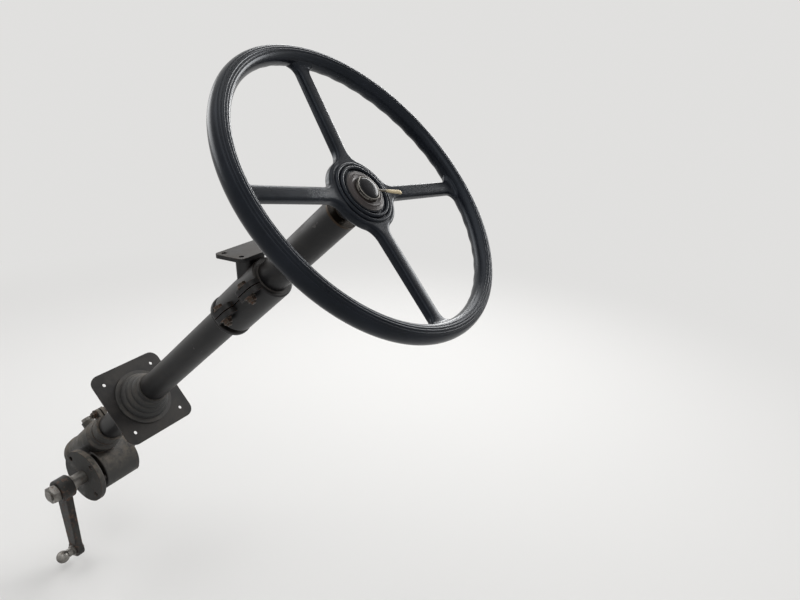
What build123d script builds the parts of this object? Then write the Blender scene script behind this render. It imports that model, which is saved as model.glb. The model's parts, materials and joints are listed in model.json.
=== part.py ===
"""Steering wheel and column of a left-hand-drive vintage sedan, in millimetres.

X is the car's right, Y its front and Z is up. The origin is where the pitman shaft's axis
crosses the face of the steering box that bolts to the frame rail.
"""
from build123d import *
import math
import os

# Driving sizes of the column
column_rake = 41.0  # degrees of the column above the horizontal
column_reach = 960.0  # along the column, from abeam the pitman shaft to the middle of the rim
worm_offset = 56.0  # column axis from the frame face, towards the car's middle
shaft_spacing = 52.0  # column axis above the pitman shaft's axis

# Running fits and clearances
running_gap = 0.05
seat_gap = 0.1
free_gap = 5.0
cut_past = 20.0  # how far a cutter runs past what it cuts

# Steering wheel, with heights measured from the middle plane of the rim
rim_outer_radius = 222.25
rim_half_width = 12.0
rim_half_depth = 14.4
rim_groove_count = 4
rim_groove_first = 59.0  # degrees round the oval of the rim, from its outer edge towards the driver
rim_groove_step = 17.2
rim_groove_radius = 1.3
rim_groove_depth = 1.0
spoke_count = 4
spoke_turn = -11.0  # degrees of the first spoke from the car's right
spoke_width = 20.5
spoke_root_thickness = 13.5
spoke_tip_thickness = 11.5
spoke_edge_radius = 3.8
spoke_hub_height = -10.0
spoke_rim_height = -1.5
spoke_root_fillet = 22.0
spoke_tip_fillet = 14.0
hub_radius = 53.5
hub_shoulder_height = -10.0
hub_side_depth = 13.0
hub_corner_radius = 3.0
hub_side_slope = 2.0
hub_back_bevel_width = 4.0
hub_back_bevel_depth = 5.0
hub_boss_radius = 27.0
hub_boss_draft = 3.0
hub_boss_depth = 44.0
hub_boss_shoulder = 33.0
outer_ring_radius = 43.4
outer_ring_height = -7.6
inner_ring_radius = 37.1
inner_ring_height = -5.7
ring_half_width = 2.4
groove_height = -10.6
nut_well_radius = 25.5

# Steel at the middle of the wheel
insert_radius = 20.0
insert_flange_thickness = 4.0
insert_flange_height = -22.0
insert_tail = 3.0
wheel_nut_flats = 31.75
wheel_nut_height = 9.5
shaft_end_past_nut = 1.5
shaft_radius = 11.1
shaft_bore_radius = 7.0
shaft_shoulder_radius = 13.5
shaft_shoulder_length = 6.0

# Dished cover over the wheel nut
cover_radius = 30.5
cover_edge_height = -6.9
cover_rebate_gap = 1.0
cover_step_radius = 24.0
cover_step_half_width = 1.0
cover_step_drop = 1.0
cover_inner_height = -4.7
cover_thickness = 1.5
cover_hole_radius = 10.0

# Horn button, its bezel and the light lever
control_tube_radius = 4.75
lever_plate_radius = 17.2
lever_plate_thickness = 1.6
lever_plate_height = -1.6
lever_turn = -18.5
lever_reach = 64.0
lever_root_overlap = 3.0
lever_root_width = 3.6
lever_tip_width = 7.0
lever_rise = 2.2
bezel_outer_radius = 18.0
bezel_inner_radius = 16.1
bezel_thickness = 1.9
bezel_edge_radius = 0.8
button_gap = 0.2
button_rim_height = 0.9
button_dome_height = 3.4

# Column jacket and what carries it
jacket_radius = 25.4
jacket_wall = 1.6
jacket_top_depth = 60.0
bearing_length = 26.0
bearing_flange_thickness = 3.0
clamp_length = 24.0
clamp_wall = 4.5
clamp_setback = 4.0
clamp_slot = 3.0
clamp_ear_height = 22.0
clamp_ear_thickness = 7.0
clamp_ear_round = 10.0
clamp_bolt_radius = 4.0

# Bracket under the dash, with depths below the middle plane of the rim
bracket_top_depth = 230.0
bracket_length = 115.0
bracket_radius = 34.5
bracket_liner_thickness = 3.0
bracket_split = 1.6
bracket_ear_reach = 14.0
bracket_ear_thickness = 8.0
bracket_bolt_radius = 4.2
bracket_bolt_inset = 22.0
bracket_lug_round = 12.0
bracket_edge_round = 2.5
foot_rise = 74.0
foot_thickness = 6.0
foot_width = 92.0
foot_depth = 56.0
foot_hole_spacing_x = 70.0
foot_hole_spacing_y = 34.0
foot_hole_radius = 4.2
foot_corner_radius = 8.0
stem_width = 40.0
stem_depth = 30.0
stem_corner_radius = 7.0
stem_foot_fillet = 6.0
collar_gap = 7.0
collar_thickness = 7.0
collar_radius = 35.5
collar_edge_round = 1.5

# Cover plate and boot where the column passes the toe board
toe_plate_depth = 698.0
toe_plate_side = 150.0
toe_plate_thickness = 2.5
toe_plate_corner = 18.0
toe_plate_circle = 150.0
toe_plate_holes = 4
toe_plate_hole_turn = 45.0
toe_plate_hole_radius = 3.4
toe_hole_gap = 2.5
boot_base_radius = 46.0
boot_flange_width = 8.0
boot_flange_thickness = 3.0
boot_height = 46.0
boot_wall = 3.0
boot_lip_length = 10.0
boot_folds = 3
boot_fold_bulge = 2.2

# Steering box
worm_barrel_radius = 38.0
worm_barrel_up = 62.0
worm_barrel_down = 62.0
worm_waist_radius = 35.0
worm_flange_thickness = 9.0
worm_slope = 5.0
casting_round = 3.0
neck_radius = 30.0
neck_length = 12.0
spigot_length = 44.0
chamber_radius = 46.0
chamber_start = 24.0
chamber_end = 97.0
trunnion_radius = 25.0
frame_flange_radius = 58.0
frame_flange_thickness = 12.0
frame_bolt_circle = 92.0
frame_bolt_count = 4
frame_bolt_turn = 45.0
frame_bolt_hole_radius = 5.6
rib_pairs = 2
rib_thickness = 7.0
rib_reach = 42.0
side_cover_thickness = 7.0
side_cover_edge_round = 1.5
side_cover_bolt_circle = 78.0
side_cover_bolts = 4
side_cover_bolt_turn = 45.0
side_cover_bolt_radius = 3.2
screw_radius = 6.0
screw_stand = 10.0
screw_boss_radius = 13.0
screw_boss_height = 5.0
locknut_flats = 19.0
locknut_height = 7.0
thrust_gap = 0.3
filler_radius = 8.0
filler_flats = 19.0
filler_head = 7.0
filler_boss_radius = 13.0
filler_boss_height = 6.0
filler_station = 30.0
end_plate_thickness = 7.0
end_plate_radius = 38.0
end_plate_bolt_circle = 62.0
end_plate_edge_round = 1.5
end_plate_bolts = 3
end_plate_bolt_turn = 90.0
end_plate_bolt_radius = 3.2
switch_radius = 25.0
switch_length = 30.0
switch_base_radius = 27.0
switch_base_thickness = 4.0
switch_edge_round = 3.0

# Pitman shaft, arm and ball
pitman_shaft_radius = 14.3
pitman_shaft_end_gap = 3.0
arm_standoff = 32.0
arm_boss_radius = 24.0
arm_boss_length = 28.0
arm_length = 152.0
arm_tip_radius = 17.0
arm_tip_thickness = 15.0
arm_web_root_width = 38.0
arm_web_tip_width = 29.0
arm_web_edge_round = 4.0
arm_boss_edge_round = 2.0
arm_shoulder_radius = 18.0
arm_shoulder_length = 6.0
ball_radius = 12.7
ball_neck_radius = 8.5
ball_shoulder_radius = 11.5
ball_shoulder_length = 4.0
ball_standoff = 24.0
ball_shank_radius = 8.0
ball_rivet_radius = 11.0
ball_rivet_height = 2.5
pitman_nut_flats = 33.3
pitman_nut_height = 15.0
shaft_thread_radius = 11.0
shaft_thread_past = 3.0

# Every hexagon nut and head
nut_face_share = 0.95  # of the flats, the round face left by the chamfer
nut_chamfer_slope = 30.0  # degrees

# Places worked out from the sizes
rake = math.radians(column_rake)
uphill = Vector(0, -math.cos(rake), math.sin(rake))
over = Vector(0, math.sin(rake), math.cos(rake))
column_foot = Vector(worm_offset, 0, 0) + over * shaft_spacing
column = Plane(origin=column_foot, x_dir=(1, 0, 0), z_dir=uphill)
rim_radius = rim_outer_radius - rim_half_width
jacket_inner_radius = jacket_radius - jacket_wall
jacket_top = column_reach - jacket_top_depth
jacket_foot = worm_barrel_up + neck_length
cover_seat_height = cover_edge_height - cover_thickness
insert_foot = -hub_boss_depth - insert_tail
shaft_top = insert_flange_height + wheel_nut_height + shaft_end_past_nut


def on_column(shape, station=0.0):
    """Place a shape drawn about Z on the column, at a distance along it."""
    return column.location * Pos(0, 0, station) * shape


def on_wheel(shape):
    """Place a shape drawn about Z with its heights taken from the rim's middle plane."""
    return on_column(shape, column_reach)


def turned(*points):
    """Turn a closed outline of (radius, height) points about Z."""
    return revolve(Plane.XZ * make_face(Polyline(*points, close=True)), Axis.Z)


def tube(outer, inner, low, high):
    """A plain tube about Z between two heights."""
    return turned((inner, low), (outer, low), (outer, high), (inner, high))


def rod(radius, low, high):
    """A plain round bar about Z between two heights."""
    return Pos(0, 0, low) * Cylinder(radius, high - low, align=(Align.CENTER, Align.CENTER, Align.MIN))


def along_x(shape, station=0.0):
    """Turn a shape drawn about Z so that it lies along X."""
    return Pos(station, 0, 0) * Rot(0, 90, 0) * shape


def ring_of(shape, radius, count, turn=0.0):
    """Like shapes set round a circle about Z."""
    return [Rot(0, 0, turn + 360.0 * i / count) * Pos(radius, 0, 0) * shape for i in range(count)]


def hexagon(flats, low, high):
    """A hexagon nut or head about Z between two heights, with both ends chamfered."""
    bar = Pos(0, 0, low) * extrude(RegularPolygon(flats / 2, 6, major_radius=False), high - low)
    face = nut_face_share * flats / 2
    corner = flats / math.sqrt(3)
    drop = (corner - face) * math.tan(math.radians(nut_chamfer_slope))
    return bar & turned(
        (0, low), (face, low), (corner, low + drop), (corner, high - drop), (face, high), (0, high))


def softened(bar, radius, *ends):
    """Round the end edges of a shape drawn about Z: 0 is its lowest end and -1 its highest."""
    for end in ends:
        bar = fillet(bar.edges().group_by(Axis.Z)[end], radius)
    return bar


# Wheel


def make_rim():
    """Ring of oval section with fine grooves round the face that meets the driver."""
    section = Ellipse(rim_half_width, rim_half_depth)
    for i in range(rim_groove_count):
        angle = math.radians(rim_groove_first + i * rim_groove_step)
        across = math.cos(angle)
        up = math.sin(angle)
        surface = Vector(rim_half_width * across, rim_half_depth * up)
        outward = Vector(across / rim_half_width, up / rim_half_depth).normalized()
        middle = surface + outward * (rim_groove_radius - rim_groove_depth)
        section = section - Pos(middle.X, middle.Y) * Circle(rim_groove_radius)
    return revolve(Plane.XZ * Pos(rim_radius, 0) * section, Axis.Z)


def crest(radius, height):
    """Half-round ridge of the hub's face, from groove to groove."""
    return ThreePointArc(
        (radius + ring_half_width, groove_height),
        (radius, height),
        (radius - ring_half_width, groove_height),
    )


def make_hub():
    well = nut_well_radius
    seat = cover_radius + seat_gap
    low_side = hub_shoulder_height - hub_side_depth
    edges = [
        Polyline(
            (inner_ring_radius - ring_half_width, groove_height),
            (seat + cover_rebate_gap, groove_height),
            (seat + cover_rebate_gap, cover_edge_height),
            (seat, cover_edge_height),
            (seat, cover_seat_height),
            (well, cover_seat_height),
            (well, insert_flange_height - insert_flange_thickness),
            (insert_radius, insert_flange_height - insert_flange_thickness),
            (insert_radius, -hub_boss_depth),
            (hub_boss_radius, -hub_boss_depth),
            (hub_boss_radius + hub_boss_draft, -hub_boss_shoulder),
            (hub_radius - hub_back_bevel_width, low_side - hub_back_bevel_depth),
            (hub_radius, low_side + hub_side_slope),
            (hub_radius, hub_shoulder_height - hub_corner_radius),
        ),
        RadiusArc(
            (hub_radius, hub_shoulder_height - hub_corner_radius),
            (hub_radius - hub_corner_radius, hub_shoulder_height),
            -hub_corner_radius,
        ),
        Polyline(
            (hub_radius - hub_corner_radius, hub_shoulder_height),
            (outer_ring_radius + ring_half_width, hub_shoulder_height),
            (outer_ring_radius + ring_half_width, groove_height),
        ),
        crest(outer_ring_radius, outer_ring_height),
        Line(
            (outer_ring_radius - ring_half_width, groove_height),
            (inner_ring_radius + ring_half_width, groove_height),
        ),
        crest(inner_ring_radius, inner_ring_height),
    ]
    return revolve(Plane.XZ * make_face(edges), Axis.Z)


def make_spokes(rim):
    """Round-edged bars, flared at both ends, thinner at the rim and dished towards the driver there."""
    inner_edge = rim_radius - rim_half_width
    run = inner_edge - hub_radius
    tilt = math.degrees(math.atan2(spoke_rim_height - spoke_hub_height, run))
    half = spoke_width / 2
    root_flare = spoke_root_fillet
    tip_flare = spoke_tip_fillet
    root_start = math.sqrt((hub_radius + root_flare) ** 2 - (half + root_flare) ** 2)
    tip_end = math.sqrt((inner_edge - tip_flare) ** 2 - (half + tip_flare) ** 2)
    root_scale = hub_radius / (hub_radius + root_flare)
    tip_scale = inner_edge / (inner_edge - tip_flare)
    root_touch = (root_start * root_scale, (half + root_flare) * root_scale)
    tip_touch = (tip_end * tip_scale, (half + tip_flare) * tip_scale)
    inset = rim_half_width
    plan = make_face([
        Line((root_start, half), (tip_end, half)),
        RadiusArc((tip_end, half), tip_touch, tip_flare),
        Line(tip_touch, (tip_touch[0] + inset, tip_touch[1])),
        Line((tip_touch[0] + inset, tip_touch[1]), (tip_touch[0] + inset, -tip_touch[1])),
        Line((tip_touch[0] + inset, -tip_touch[1]), (tip_touch[0], -tip_touch[1])),
        RadiusArc((tip_touch[0], -tip_touch[1]), (tip_end, -half), tip_flare),
        Line((tip_end, -half), (root_start, -half)),
        RadiusArc((root_start, -half), (root_touch[0], -root_touch[1]), root_flare),
        Line((root_touch[0], -root_touch[1]), (root_touch[0] - inset, -root_touch[1])),
        Line((root_touch[0] - inset, -root_touch[1]), (root_touch[0] - inset, root_touch[1])),
        Line((root_touch[0] - inset, root_touch[1]), root_touch),
        RadiusArc(root_touch, (root_start, half), root_flare),
    ])
    taper = math.degrees(math.atan2(spoke_root_thickness - spoke_tip_thickness, run))
    under = Pos(hub_radius, 0, -spoke_root_thickness) * Rot(0, -taper, 0) * Box(
        2 * rim_outer_radius, 2 * rim_outer_radius, 2 * spoke_root_thickness,
        align=(Align.CENTER, Align.CENTER, Align.MAX))
    bar = extrude(plan, -2 * spoke_root_thickness) - under
    bar = fillet(bar.edges().group_by(Axis.Z)[-1], spoke_edge_radius)
    bar = fillet(bar.faces().sort_by(Axis.Z)[0].edges(), spoke_edge_radius)
    bar = Pos(hub_radius, 0, spoke_hub_height) * Rot(0, -tilt, 0) * Pos(-hub_radius, 0, 0) * bar
    core = rod(hub_radius, -hub_boss_depth - cut_past, 0)
    bar = bar - core - rim
    return [Rot(0, 0, spoke_turn + 360.0 * i / spoke_count) * bar for i in range(spoke_count)]


def make_hub_insert():
    flange_foot = insert_flange_height - insert_flange_thickness
    bore = shaft_radius + seat_gap / 2
    return turned(
        (bore, insert_foot),
        (insert_radius, insert_foot),
        (insert_radius, flange_foot),
        (nut_well_radius, flange_foot),
        (nut_well_radius, insert_flange_height),
        (bore, insert_flange_height),
    )


def make_wheel_nut():
    bore = shaft_radius + seat_gap / 2
    nut = hexagon(wheel_nut_flats, insert_flange_height, insert_flange_height + wheel_nut_height)
    return nut - rod(bore, insert_flange_height, insert_flange_height + wheel_nut_height)


def make_steering_shaft():
    """Hollow shaft from the foot of the worm barrel to above the wheel nut, as stations."""
    foot = -worm_barrel_down + free_gap
    top = column_reach + shaft_top
    shoulder = column_reach + insert_foot
    return turned(
        (shaft_bore_radius, foot),
        (shaft_radius, foot),
        (shaft_radius, shoulder - shaft_shoulder_length),
        (shaft_shoulder_radius, shoulder - shaft_shoulder_length),
        (shaft_shoulder_radius, shoulder),
        (shaft_radius, shoulder),
        (shaft_radius, top),
        (shaft_bore_radius, top),
    )


def make_hub_cover():
    step_in = cover_step_radius - cover_step_half_width
    step_out = cover_step_radius + cover_step_half_width
    step_height = cover_inner_height - cover_step_drop
    under = cover_thickness
    return turned(
        (cover_hole_radius, cover_inner_height),
        (step_in, cover_inner_height),
        (step_out, step_height),
        (cover_radius, cover_edge_height),
        (cover_radius, cover_edge_height - under),
        (step_out, step_height - under),
        (step_in, cover_inner_height - under),
        (cover_hole_radius, cover_inner_height - under),
    )


# Controls that stand still at the middle of the wheel


def make_control_tube():
    foot = -worm_barrel_down - end_plate_thickness
    top = column_reach + lever_plate_height - lever_plate_thickness
    return rod(control_tube_radius, foot, top)


def make_light_lever():
    base = lever_plate_height - lever_plate_thickness
    plate = rod(lever_plate_radius, base, lever_plate_height)
    start = lever_plate_radius - lever_root_overlap
    root = lever_root_width / 2
    tip = lever_tip_width / 2
    arm = make_face(Polyline(
        (start, -root), (lever_reach - tip, -tip), (lever_reach - tip, tip), (start, root), close=True))
    arm = arm + Pos(lever_reach - tip, 0) * Circle(tip)
    arm = extrude(arm, lever_plate_thickness)
    knee = bezel_outer_radius
    rise = math.degrees(math.atan2(lever_rise, lever_reach - knee))
    arm = Pos(knee, 0, lever_plate_height) * Rot(0, -rise, 0) * Pos(-knee, 0, -lever_plate_thickness) * arm
    return plate + Rot(0, 0, lever_turn) * arm


def make_bezel():
    top = lever_plate_height + bezel_thickness
    ring = tube(bezel_outer_radius, bezel_inner_radius, lever_plate_height, top)
    return softened(ring, bezel_edge_radius, -1)


def make_button():
    """Domed disc: a part of a ball that stands on a thin straight rim."""
    radius = bezel_inner_radius - button_gap
    brim = lever_plate_height + button_rim_height
    ball_size = (radius**2 + button_dome_height**2) / (2 * button_dome_height)
    dome = Pos(0, 0, brim + button_dome_height - ball_size) * Sphere(ball_size)
    return dome & rod(radius, lever_plate_height, brim + button_dome_height + cut_past)


# Column jacket


def make_jacket():
    return tube(jacket_radius, jacket_inner_radius, jacket_foot, jacket_top)


def make_upper_bearing():
    bore = shaft_radius + running_gap
    return turned(
        (bore, jacket_top - bearing_length),
        (jacket_inner_radius - seat_gap, jacket_top - bearing_length),
        (jacket_inner_radius - seat_gap, jacket_top),
        (jacket_radius, jacket_top),
        (jacket_radius, jacket_top + bearing_flange_thickness),
        (bore, jacket_top + bearing_flange_thickness),
    )


def make_jacket_clamp():
    """Split band that grips the jacket on the spigot of the steering box."""
    low = jacket_foot + clamp_setback
    high = low + clamp_length
    inner = jacket_radius + seat_gap
    outer = inner + clamp_wall
    ear_top = outer + clamp_ear_height - clamp_wall
    ear_width = clamp_slot + 2 * clamp_ear_thickness
    ears = Pos(0, 0, low) * Box(
        ear_width, ear_top, clamp_length, align=(Align.CENTER, Align.MIN, Align.MIN))
    ears = fillet(ears.edges().filter_by(Axis.X).group_by(Axis.Y)[-1], clamp_ear_round)
    band = rod(outer, low, high) + ears
    band = band - rod(inner, low, high)
    slot = Pos(0, 0, low) * Box(
        clamp_slot, ear_top, clamp_length, align=(Align.CENTER, Align.MIN, Align.MIN))
    bolt = Pos(0, (outer + ear_top) / 2, (low + high) / 2) * Rot(0, 90, 0) * Cylinder(
        clamp_bolt_radius, ear_width)
    return band - slot - bolt


# Bracket under the dash


def bracket_span():
    high = column_reach - bracket_top_depth
    return high - bracket_length, high


def make_bracket_liner():
    low, high = bracket_span()
    inner = jacket_radius + seat_gap
    return tube(inner + bracket_liner_thickness, inner, low, high)


def bracket_half(side):
    """Half of the clamp on the column, with bolt ears; side is 1 for the upper half."""
    low, high = bracket_span()
    bore = jacket_radius + 2 * seat_gap + bracket_liner_thickness
    ear_reach = bracket_radius + bracket_ear_reach
    stations = (low + bracket_bolt_inset, high - bracket_bolt_inset)
    lug = Box(2 * ear_reach, 2 * bracket_ear_thickness + bracket_split, 2 * bracket_bolt_inset)
    lug = fillet(lug.edges().filter_by(Axis.Y), bracket_lug_round)
    shell = softened(rod(bracket_radius, low, high), bracket_edge_round, 0, -1)
    for station in stations:
        shell = shell + Pos(0, 0, station) * lug
    keep = Pos(0, side * bracket_split / 2, low) * Box(
        2 * ear_reach + cut_past, bracket_radius + cut_past, bracket_length,
        align=(Align.CENTER, Align.MIN if side > 0 else Align.MAX, Align.MIN))
    half = (shell - rod(bore, low, high)) & keep
    bolt = Rot(90, 0, 0) * Cylinder(bracket_bolt_radius, 2 * (bracket_radius + cut_past))
    place = bracket_radius + bracket_ear_reach / 2
    for station in stations:
        for x in (-place, place):
            half = half - Pos(x, 0, station) * bolt
    return half


def make_foot():
    """Flat foot under the dash and the stem below it, with the top of the foot at zero."""
    plate = Box(foot_width, foot_depth, foot_thickness, align=(Align.CENTER, Align.CENTER, Align.MAX))
    plate = fillet(plate.edges().filter_by(Axis.Z), foot_corner_radius)
    stem = Box(stem_width, stem_depth, foot_rise, align=(Align.CENTER, Align.CENTER, Align.MAX))
    stem = fillet(stem.edges().filter_by(Axis.Z), stem_corner_radius)
    foot = plate + stem
    join = foot.edges().filter_by_position(Axis.Z, -foot_thickness - seat_gap, -foot_thickness + seat_gap)
    join = join.filter_by_position(Axis.X, -stem_width / 2, stem_width / 2)
    join = join.filter_by_position(Axis.Y, -stem_depth / 2, stem_depth / 2)
    foot = fillet(join, stem_foot_fillet)
    bolt = Cylinder(foot_hole_radius, foot_thickness + cut_past)
    for x in (-foot_hole_spacing_x / 2, foot_hole_spacing_x / 2):
        for y in (-foot_hole_spacing_y / 2, foot_hole_spacing_y / 2):
            foot = foot - Pos(x, y, 0) * bolt
    return foot


def make_bracket_body():
    """Upper half of the clamp, with a stem up to a flat foot under the dash, placed in the car."""
    low, high = bracket_span()
    middle = column_foot + uphill * ((low + high) / 2)
    bore = rod(jacket_radius + 2 * seat_gap + bracket_liner_thickness, low - cut_past, high + cut_past)
    foot = Pos(middle.X, middle.Y, middle.Z + foot_rise) * make_foot() - on_column(bore)
    return on_column(bracket_half(1)) + foot


def make_collar():
    low, _ = bracket_span()
    high = low - collar_gap
    ring = tube(collar_radius, jacket_radius + seat_gap, high - collar_thickness, high)
    return fillet(ring.edges().filter_by(GeomType.CIRCLE).group_by(SortBy.RADIUS)[-1], collar_edge_round)


# Toe board


def make_toe_plate():
    face = column_reach - toe_plate_depth
    plate = Box(
        toe_plate_side, toe_plate_side, toe_plate_thickness, align=(Align.CENTER, Align.CENTER, Align.MAX))
    plate = fillet(plate.edges().filter_by(Axis.Z), toe_plate_corner)
    plate = plate - Cylinder(jacket_radius + toe_hole_gap, toe_plate_thickness + cut_past)
    bolt = Cylinder(toe_plate_hole_radius, toe_plate_thickness + cut_past)
    for hole in ring_of(bolt, toe_plate_circle / 2, toe_plate_holes, toe_plate_hole_turn):
        plate = plate - hole
    return Pos(0, 0, face) * plate


def make_toe_boot():
    """Rubber boot whose wall narrows in round folds from its flange to the lip on the jacket."""
    face = column_reach - toe_plate_depth
    inner = jacket_radius + seat_gap
    lip = face + boot_height
    foot = Vector(boot_base_radius, face + boot_flange_thickness)
    top = Vector(inner + boot_wall, lip - boot_lip_length)
    outward = Vector(top.Y - foot.Y, foot.X - top.X).normalized()
    edges = [
        Polyline(
            (foot.X - boot_wall, foot.Y),
            (inner + toe_hole_gap, foot.Y),
            (inner + toe_hole_gap, face),
            (foot.X + boot_flange_width, face),
            (foot.X + boot_flange_width, foot.Y),
            (foot.X, foot.Y),
        ),
        Polyline(
            (top.X, top.Y),
            (top.X, lip),
            (inner, lip),
            (inner, top.Y - boot_wall),
            (foot.X - boot_wall, foot.Y),
        ),
    ]
    fold = (top - foot) / boot_folds
    for i in range(boot_folds):
        start = foot + fold * i
        crown = start + fold / 2 + outward * boot_fold_bulge
        end = start + fold
        edges.append(ThreePointArc((start.X, start.Y), (crown.X, crown.Y), (end.X, end.Y)))
    return revolve(Plane.XZ * make_face(edges), Axis.Z)


# Steering box


def make_gear_housing():
    """Worm barrel along the column, gear chamber along X, ribbed frame flange and spigot, in the car."""
    barrel_foot = worm_flange_thickness - worm_barrel_down
    barrel = on_column(turned(
        (0, -worm_barrel_down),
        (worm_barrel_radius, -worm_barrel_down),
        (worm_barrel_radius, barrel_foot),
        (worm_waist_radius, barrel_foot + worm_slope),
        (worm_waist_radius, worm_barrel_up - worm_slope),
        (neck_radius, worm_barrel_up),
        (neck_radius, jacket_foot),
        (0, jacket_foot),
    ))
    spigot = on_column(rod(jacket_inner_radius - seat_gap, jacket_foot, jacket_foot + spigot_length))
    chamber = along_x(softened(rod(chamber_radius, chamber_start, chamber_end), casting_round, 0))
    trunnion = along_x(rod(trunnion_radius, 0, chamber_start))
    flange = along_x(softened(rod(frame_flange_radius, 0, frame_flange_thickness), casting_round, -1))
    boss = on_column(
        Pos(0, 0, filler_station) * Rot(-90, 0, 0)
        * rod(filler_boss_radius, 0, worm_barrel_radius + filler_boss_height))
    casting = chamber + trunnion + flange + barrel + spigot + boss
    rib_length = chamber_start + casting_round
    rib = Box(rib_length, rib_thickness, 2 * rib_reach, align=(Align.MIN, Align.CENTER, Align.CENTER))
    for i in range(rib_pairs):
        casting = casting + Rot(180.0 * i / rib_pairs, 0, 0) * rib
    bolt = along_x(rod(frame_bolt_hole_radius, -cut_past, frame_flange_thickness))
    for i in range(frame_bolt_count):
        turn = frame_bolt_turn + 360.0 * i / frame_bolt_count
        casting = casting - Rot(turn, 0, 0) * Pos(0, frame_bolt_circle / 2, 0) * bolt
    casting = casting - on_column(
        rod(shaft_radius + running_gap, -worm_barrel_down, jacket_foot + spigot_length))
    casting = casting - along_x(rod(pitman_shaft_radius + running_gap, 0, chamber_end))
    plug_well = Rot(-90, 0, 0) * rod(
        filler_radius + seat_gap, worm_barrel_radius, worm_barrel_radius + filler_boss_height + cut_past)
    return casting - on_column(Pos(0, 0, filler_station) * plug_well)


def make_filler_plug():
    top = worm_barrel_radius + filler_boss_height
    shank = rod(filler_radius, worm_barrel_radius, top)
    head = hexagon(filler_flats, top, top + filler_head)
    return on_column(Pos(0, 0, filler_station) * Rot(-90, 0, 0) * (shank + head))


def make_side_cover():
    top = chamber_end + side_cover_thickness
    cover = softened(rod(chamber_radius, chamber_end, top), side_cover_edge_round, -1)
    cover = cover + rod(screw_boss_radius, top, top + screw_boss_height)
    bolt = rod(side_cover_bolt_radius, chamber_end, top)
    for hole in ring_of(bolt, side_cover_bolt_circle / 2, side_cover_bolts, side_cover_bolt_turn):
        cover = cover - hole
    cover = cover - rod(screw_radius + seat_gap / 2, chamber_end, top + screw_boss_height)
    return along_x(cover)


def make_adjusting_screw():
    top = chamber_end + side_cover_thickness + screw_boss_height
    shaft_end = chamber_end - pitman_shaft_end_gap
    return along_x(rod(screw_radius, shaft_end + thrust_gap, top + screw_stand))


def make_adjusting_locknut():
    top = chamber_end + side_cover_thickness + screw_boss_height
    nut = hexagon(locknut_flats, top, top + locknut_height)
    return along_x(nut - rod(screw_radius + seat_gap / 2, top, top + locknut_height))


def make_end_plate():
    low = -worm_barrel_down - end_plate_thickness
    plate = softened(rod(end_plate_radius, low, -worm_barrel_down), end_plate_edge_round, 0)
    bolt = rod(end_plate_bolt_radius, low, -worm_barrel_down)
    for hole in ring_of(bolt, end_plate_bolt_circle / 2, end_plate_bolts, end_plate_bolt_turn):
        plate = plate - hole
    return plate - rod(control_tube_radius + seat_gap / 2, low, -worm_barrel_down)


def make_light_switch():
    high = -worm_barrel_down - end_plate_thickness
    drum = softened(rod(switch_radius, high - switch_length, high), switch_edge_round, 0)
    return drum + rod(switch_base_radius, high - switch_base_thickness, high)


# Pitman shaft, arm and ball, drawn with the shaft's axis along X


def make_pitman_shaft():
    arm_face = -arm_standoff - arm_boss_length
    end = arm_face - pitman_nut_height - shaft_thread_past
    shape = rod(pitman_shaft_radius, arm_face, chamber_end - pitman_shaft_end_gap)
    shoulder = rod(arm_shoulder_radius, -arm_standoff, -arm_standoff + arm_shoulder_length)
    thread = rod(shaft_thread_radius, end, arm_face)
    return along_x(shape + shoulder + thread)


def make_pitman_arm():
    """Forged drop arm: a boss on the shaft, a flat web with rounded edges and an eye for the ball."""
    middle = -arm_standoff - arm_boss_length / 2
    root = arm_web_root_width / 2
    end = arm_web_tip_width / 2
    web = Plane.YZ * make_face(Polyline(
        (-root, 0), (-end, -arm_length), (end, -arm_length), (root, 0), close=True))
    web = extrude(web, arm_tip_thickness / 2, both=True)
    web = fillet(web.edges().sort_by(Edge.length)[-4:], arm_web_edge_round)
    boss = softened(Cylinder(arm_boss_radius, arm_boss_length), arm_boss_edge_round, 0, -1)
    eye = softened(Cylinder(arm_tip_radius, arm_tip_thickness), arm_boss_edge_round, 0, -1)
    bore = Cylinder(pitman_shaft_radius + seat_gap / 2, arm_boss_length + cut_past)
    shank = Cylinder(ball_shank_radius + seat_gap / 2, arm_tip_thickness + cut_past)
    low = Pos(0, 0, -arm_length)
    arm = web + along_x(boss) + low * along_x(eye) - along_x(bore) - low * along_x(shank)
    return Pos(middle, 0, 0) * arm


def make_drag_link_ball():
    middle = -arm_standoff - arm_boss_length / 2
    outer_face = middle - arm_tip_thickness / 2
    inner_face = middle + arm_tip_thickness / 2
    neck = along_x(rod(ball_shoulder_radius, outer_face - ball_shoulder_length, outer_face))
    neck = neck + along_x(rod(ball_neck_radius, outer_face - ball_standoff, outer_face))
    ball = Pos(outer_face - ball_standoff, 0, 0) * Sphere(ball_radius)
    shank = along_x(rod(ball_shank_radius, outer_face, inner_face))
    rivet = along_x(rod(ball_rivet_radius, inner_face, inner_face + ball_rivet_height))
    return Pos(0, 0, -arm_length) * (ball + neck + shank + rivet)


def make_pitman_nut():
    face = -arm_standoff - arm_boss_length
    nut = hexagon(pitman_nut_flats, face - pitman_nut_height, face)
    return along_x(nut - rod(shaft_thread_radius + seat_gap / 2, face - pitman_nut_height, face))


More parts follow.
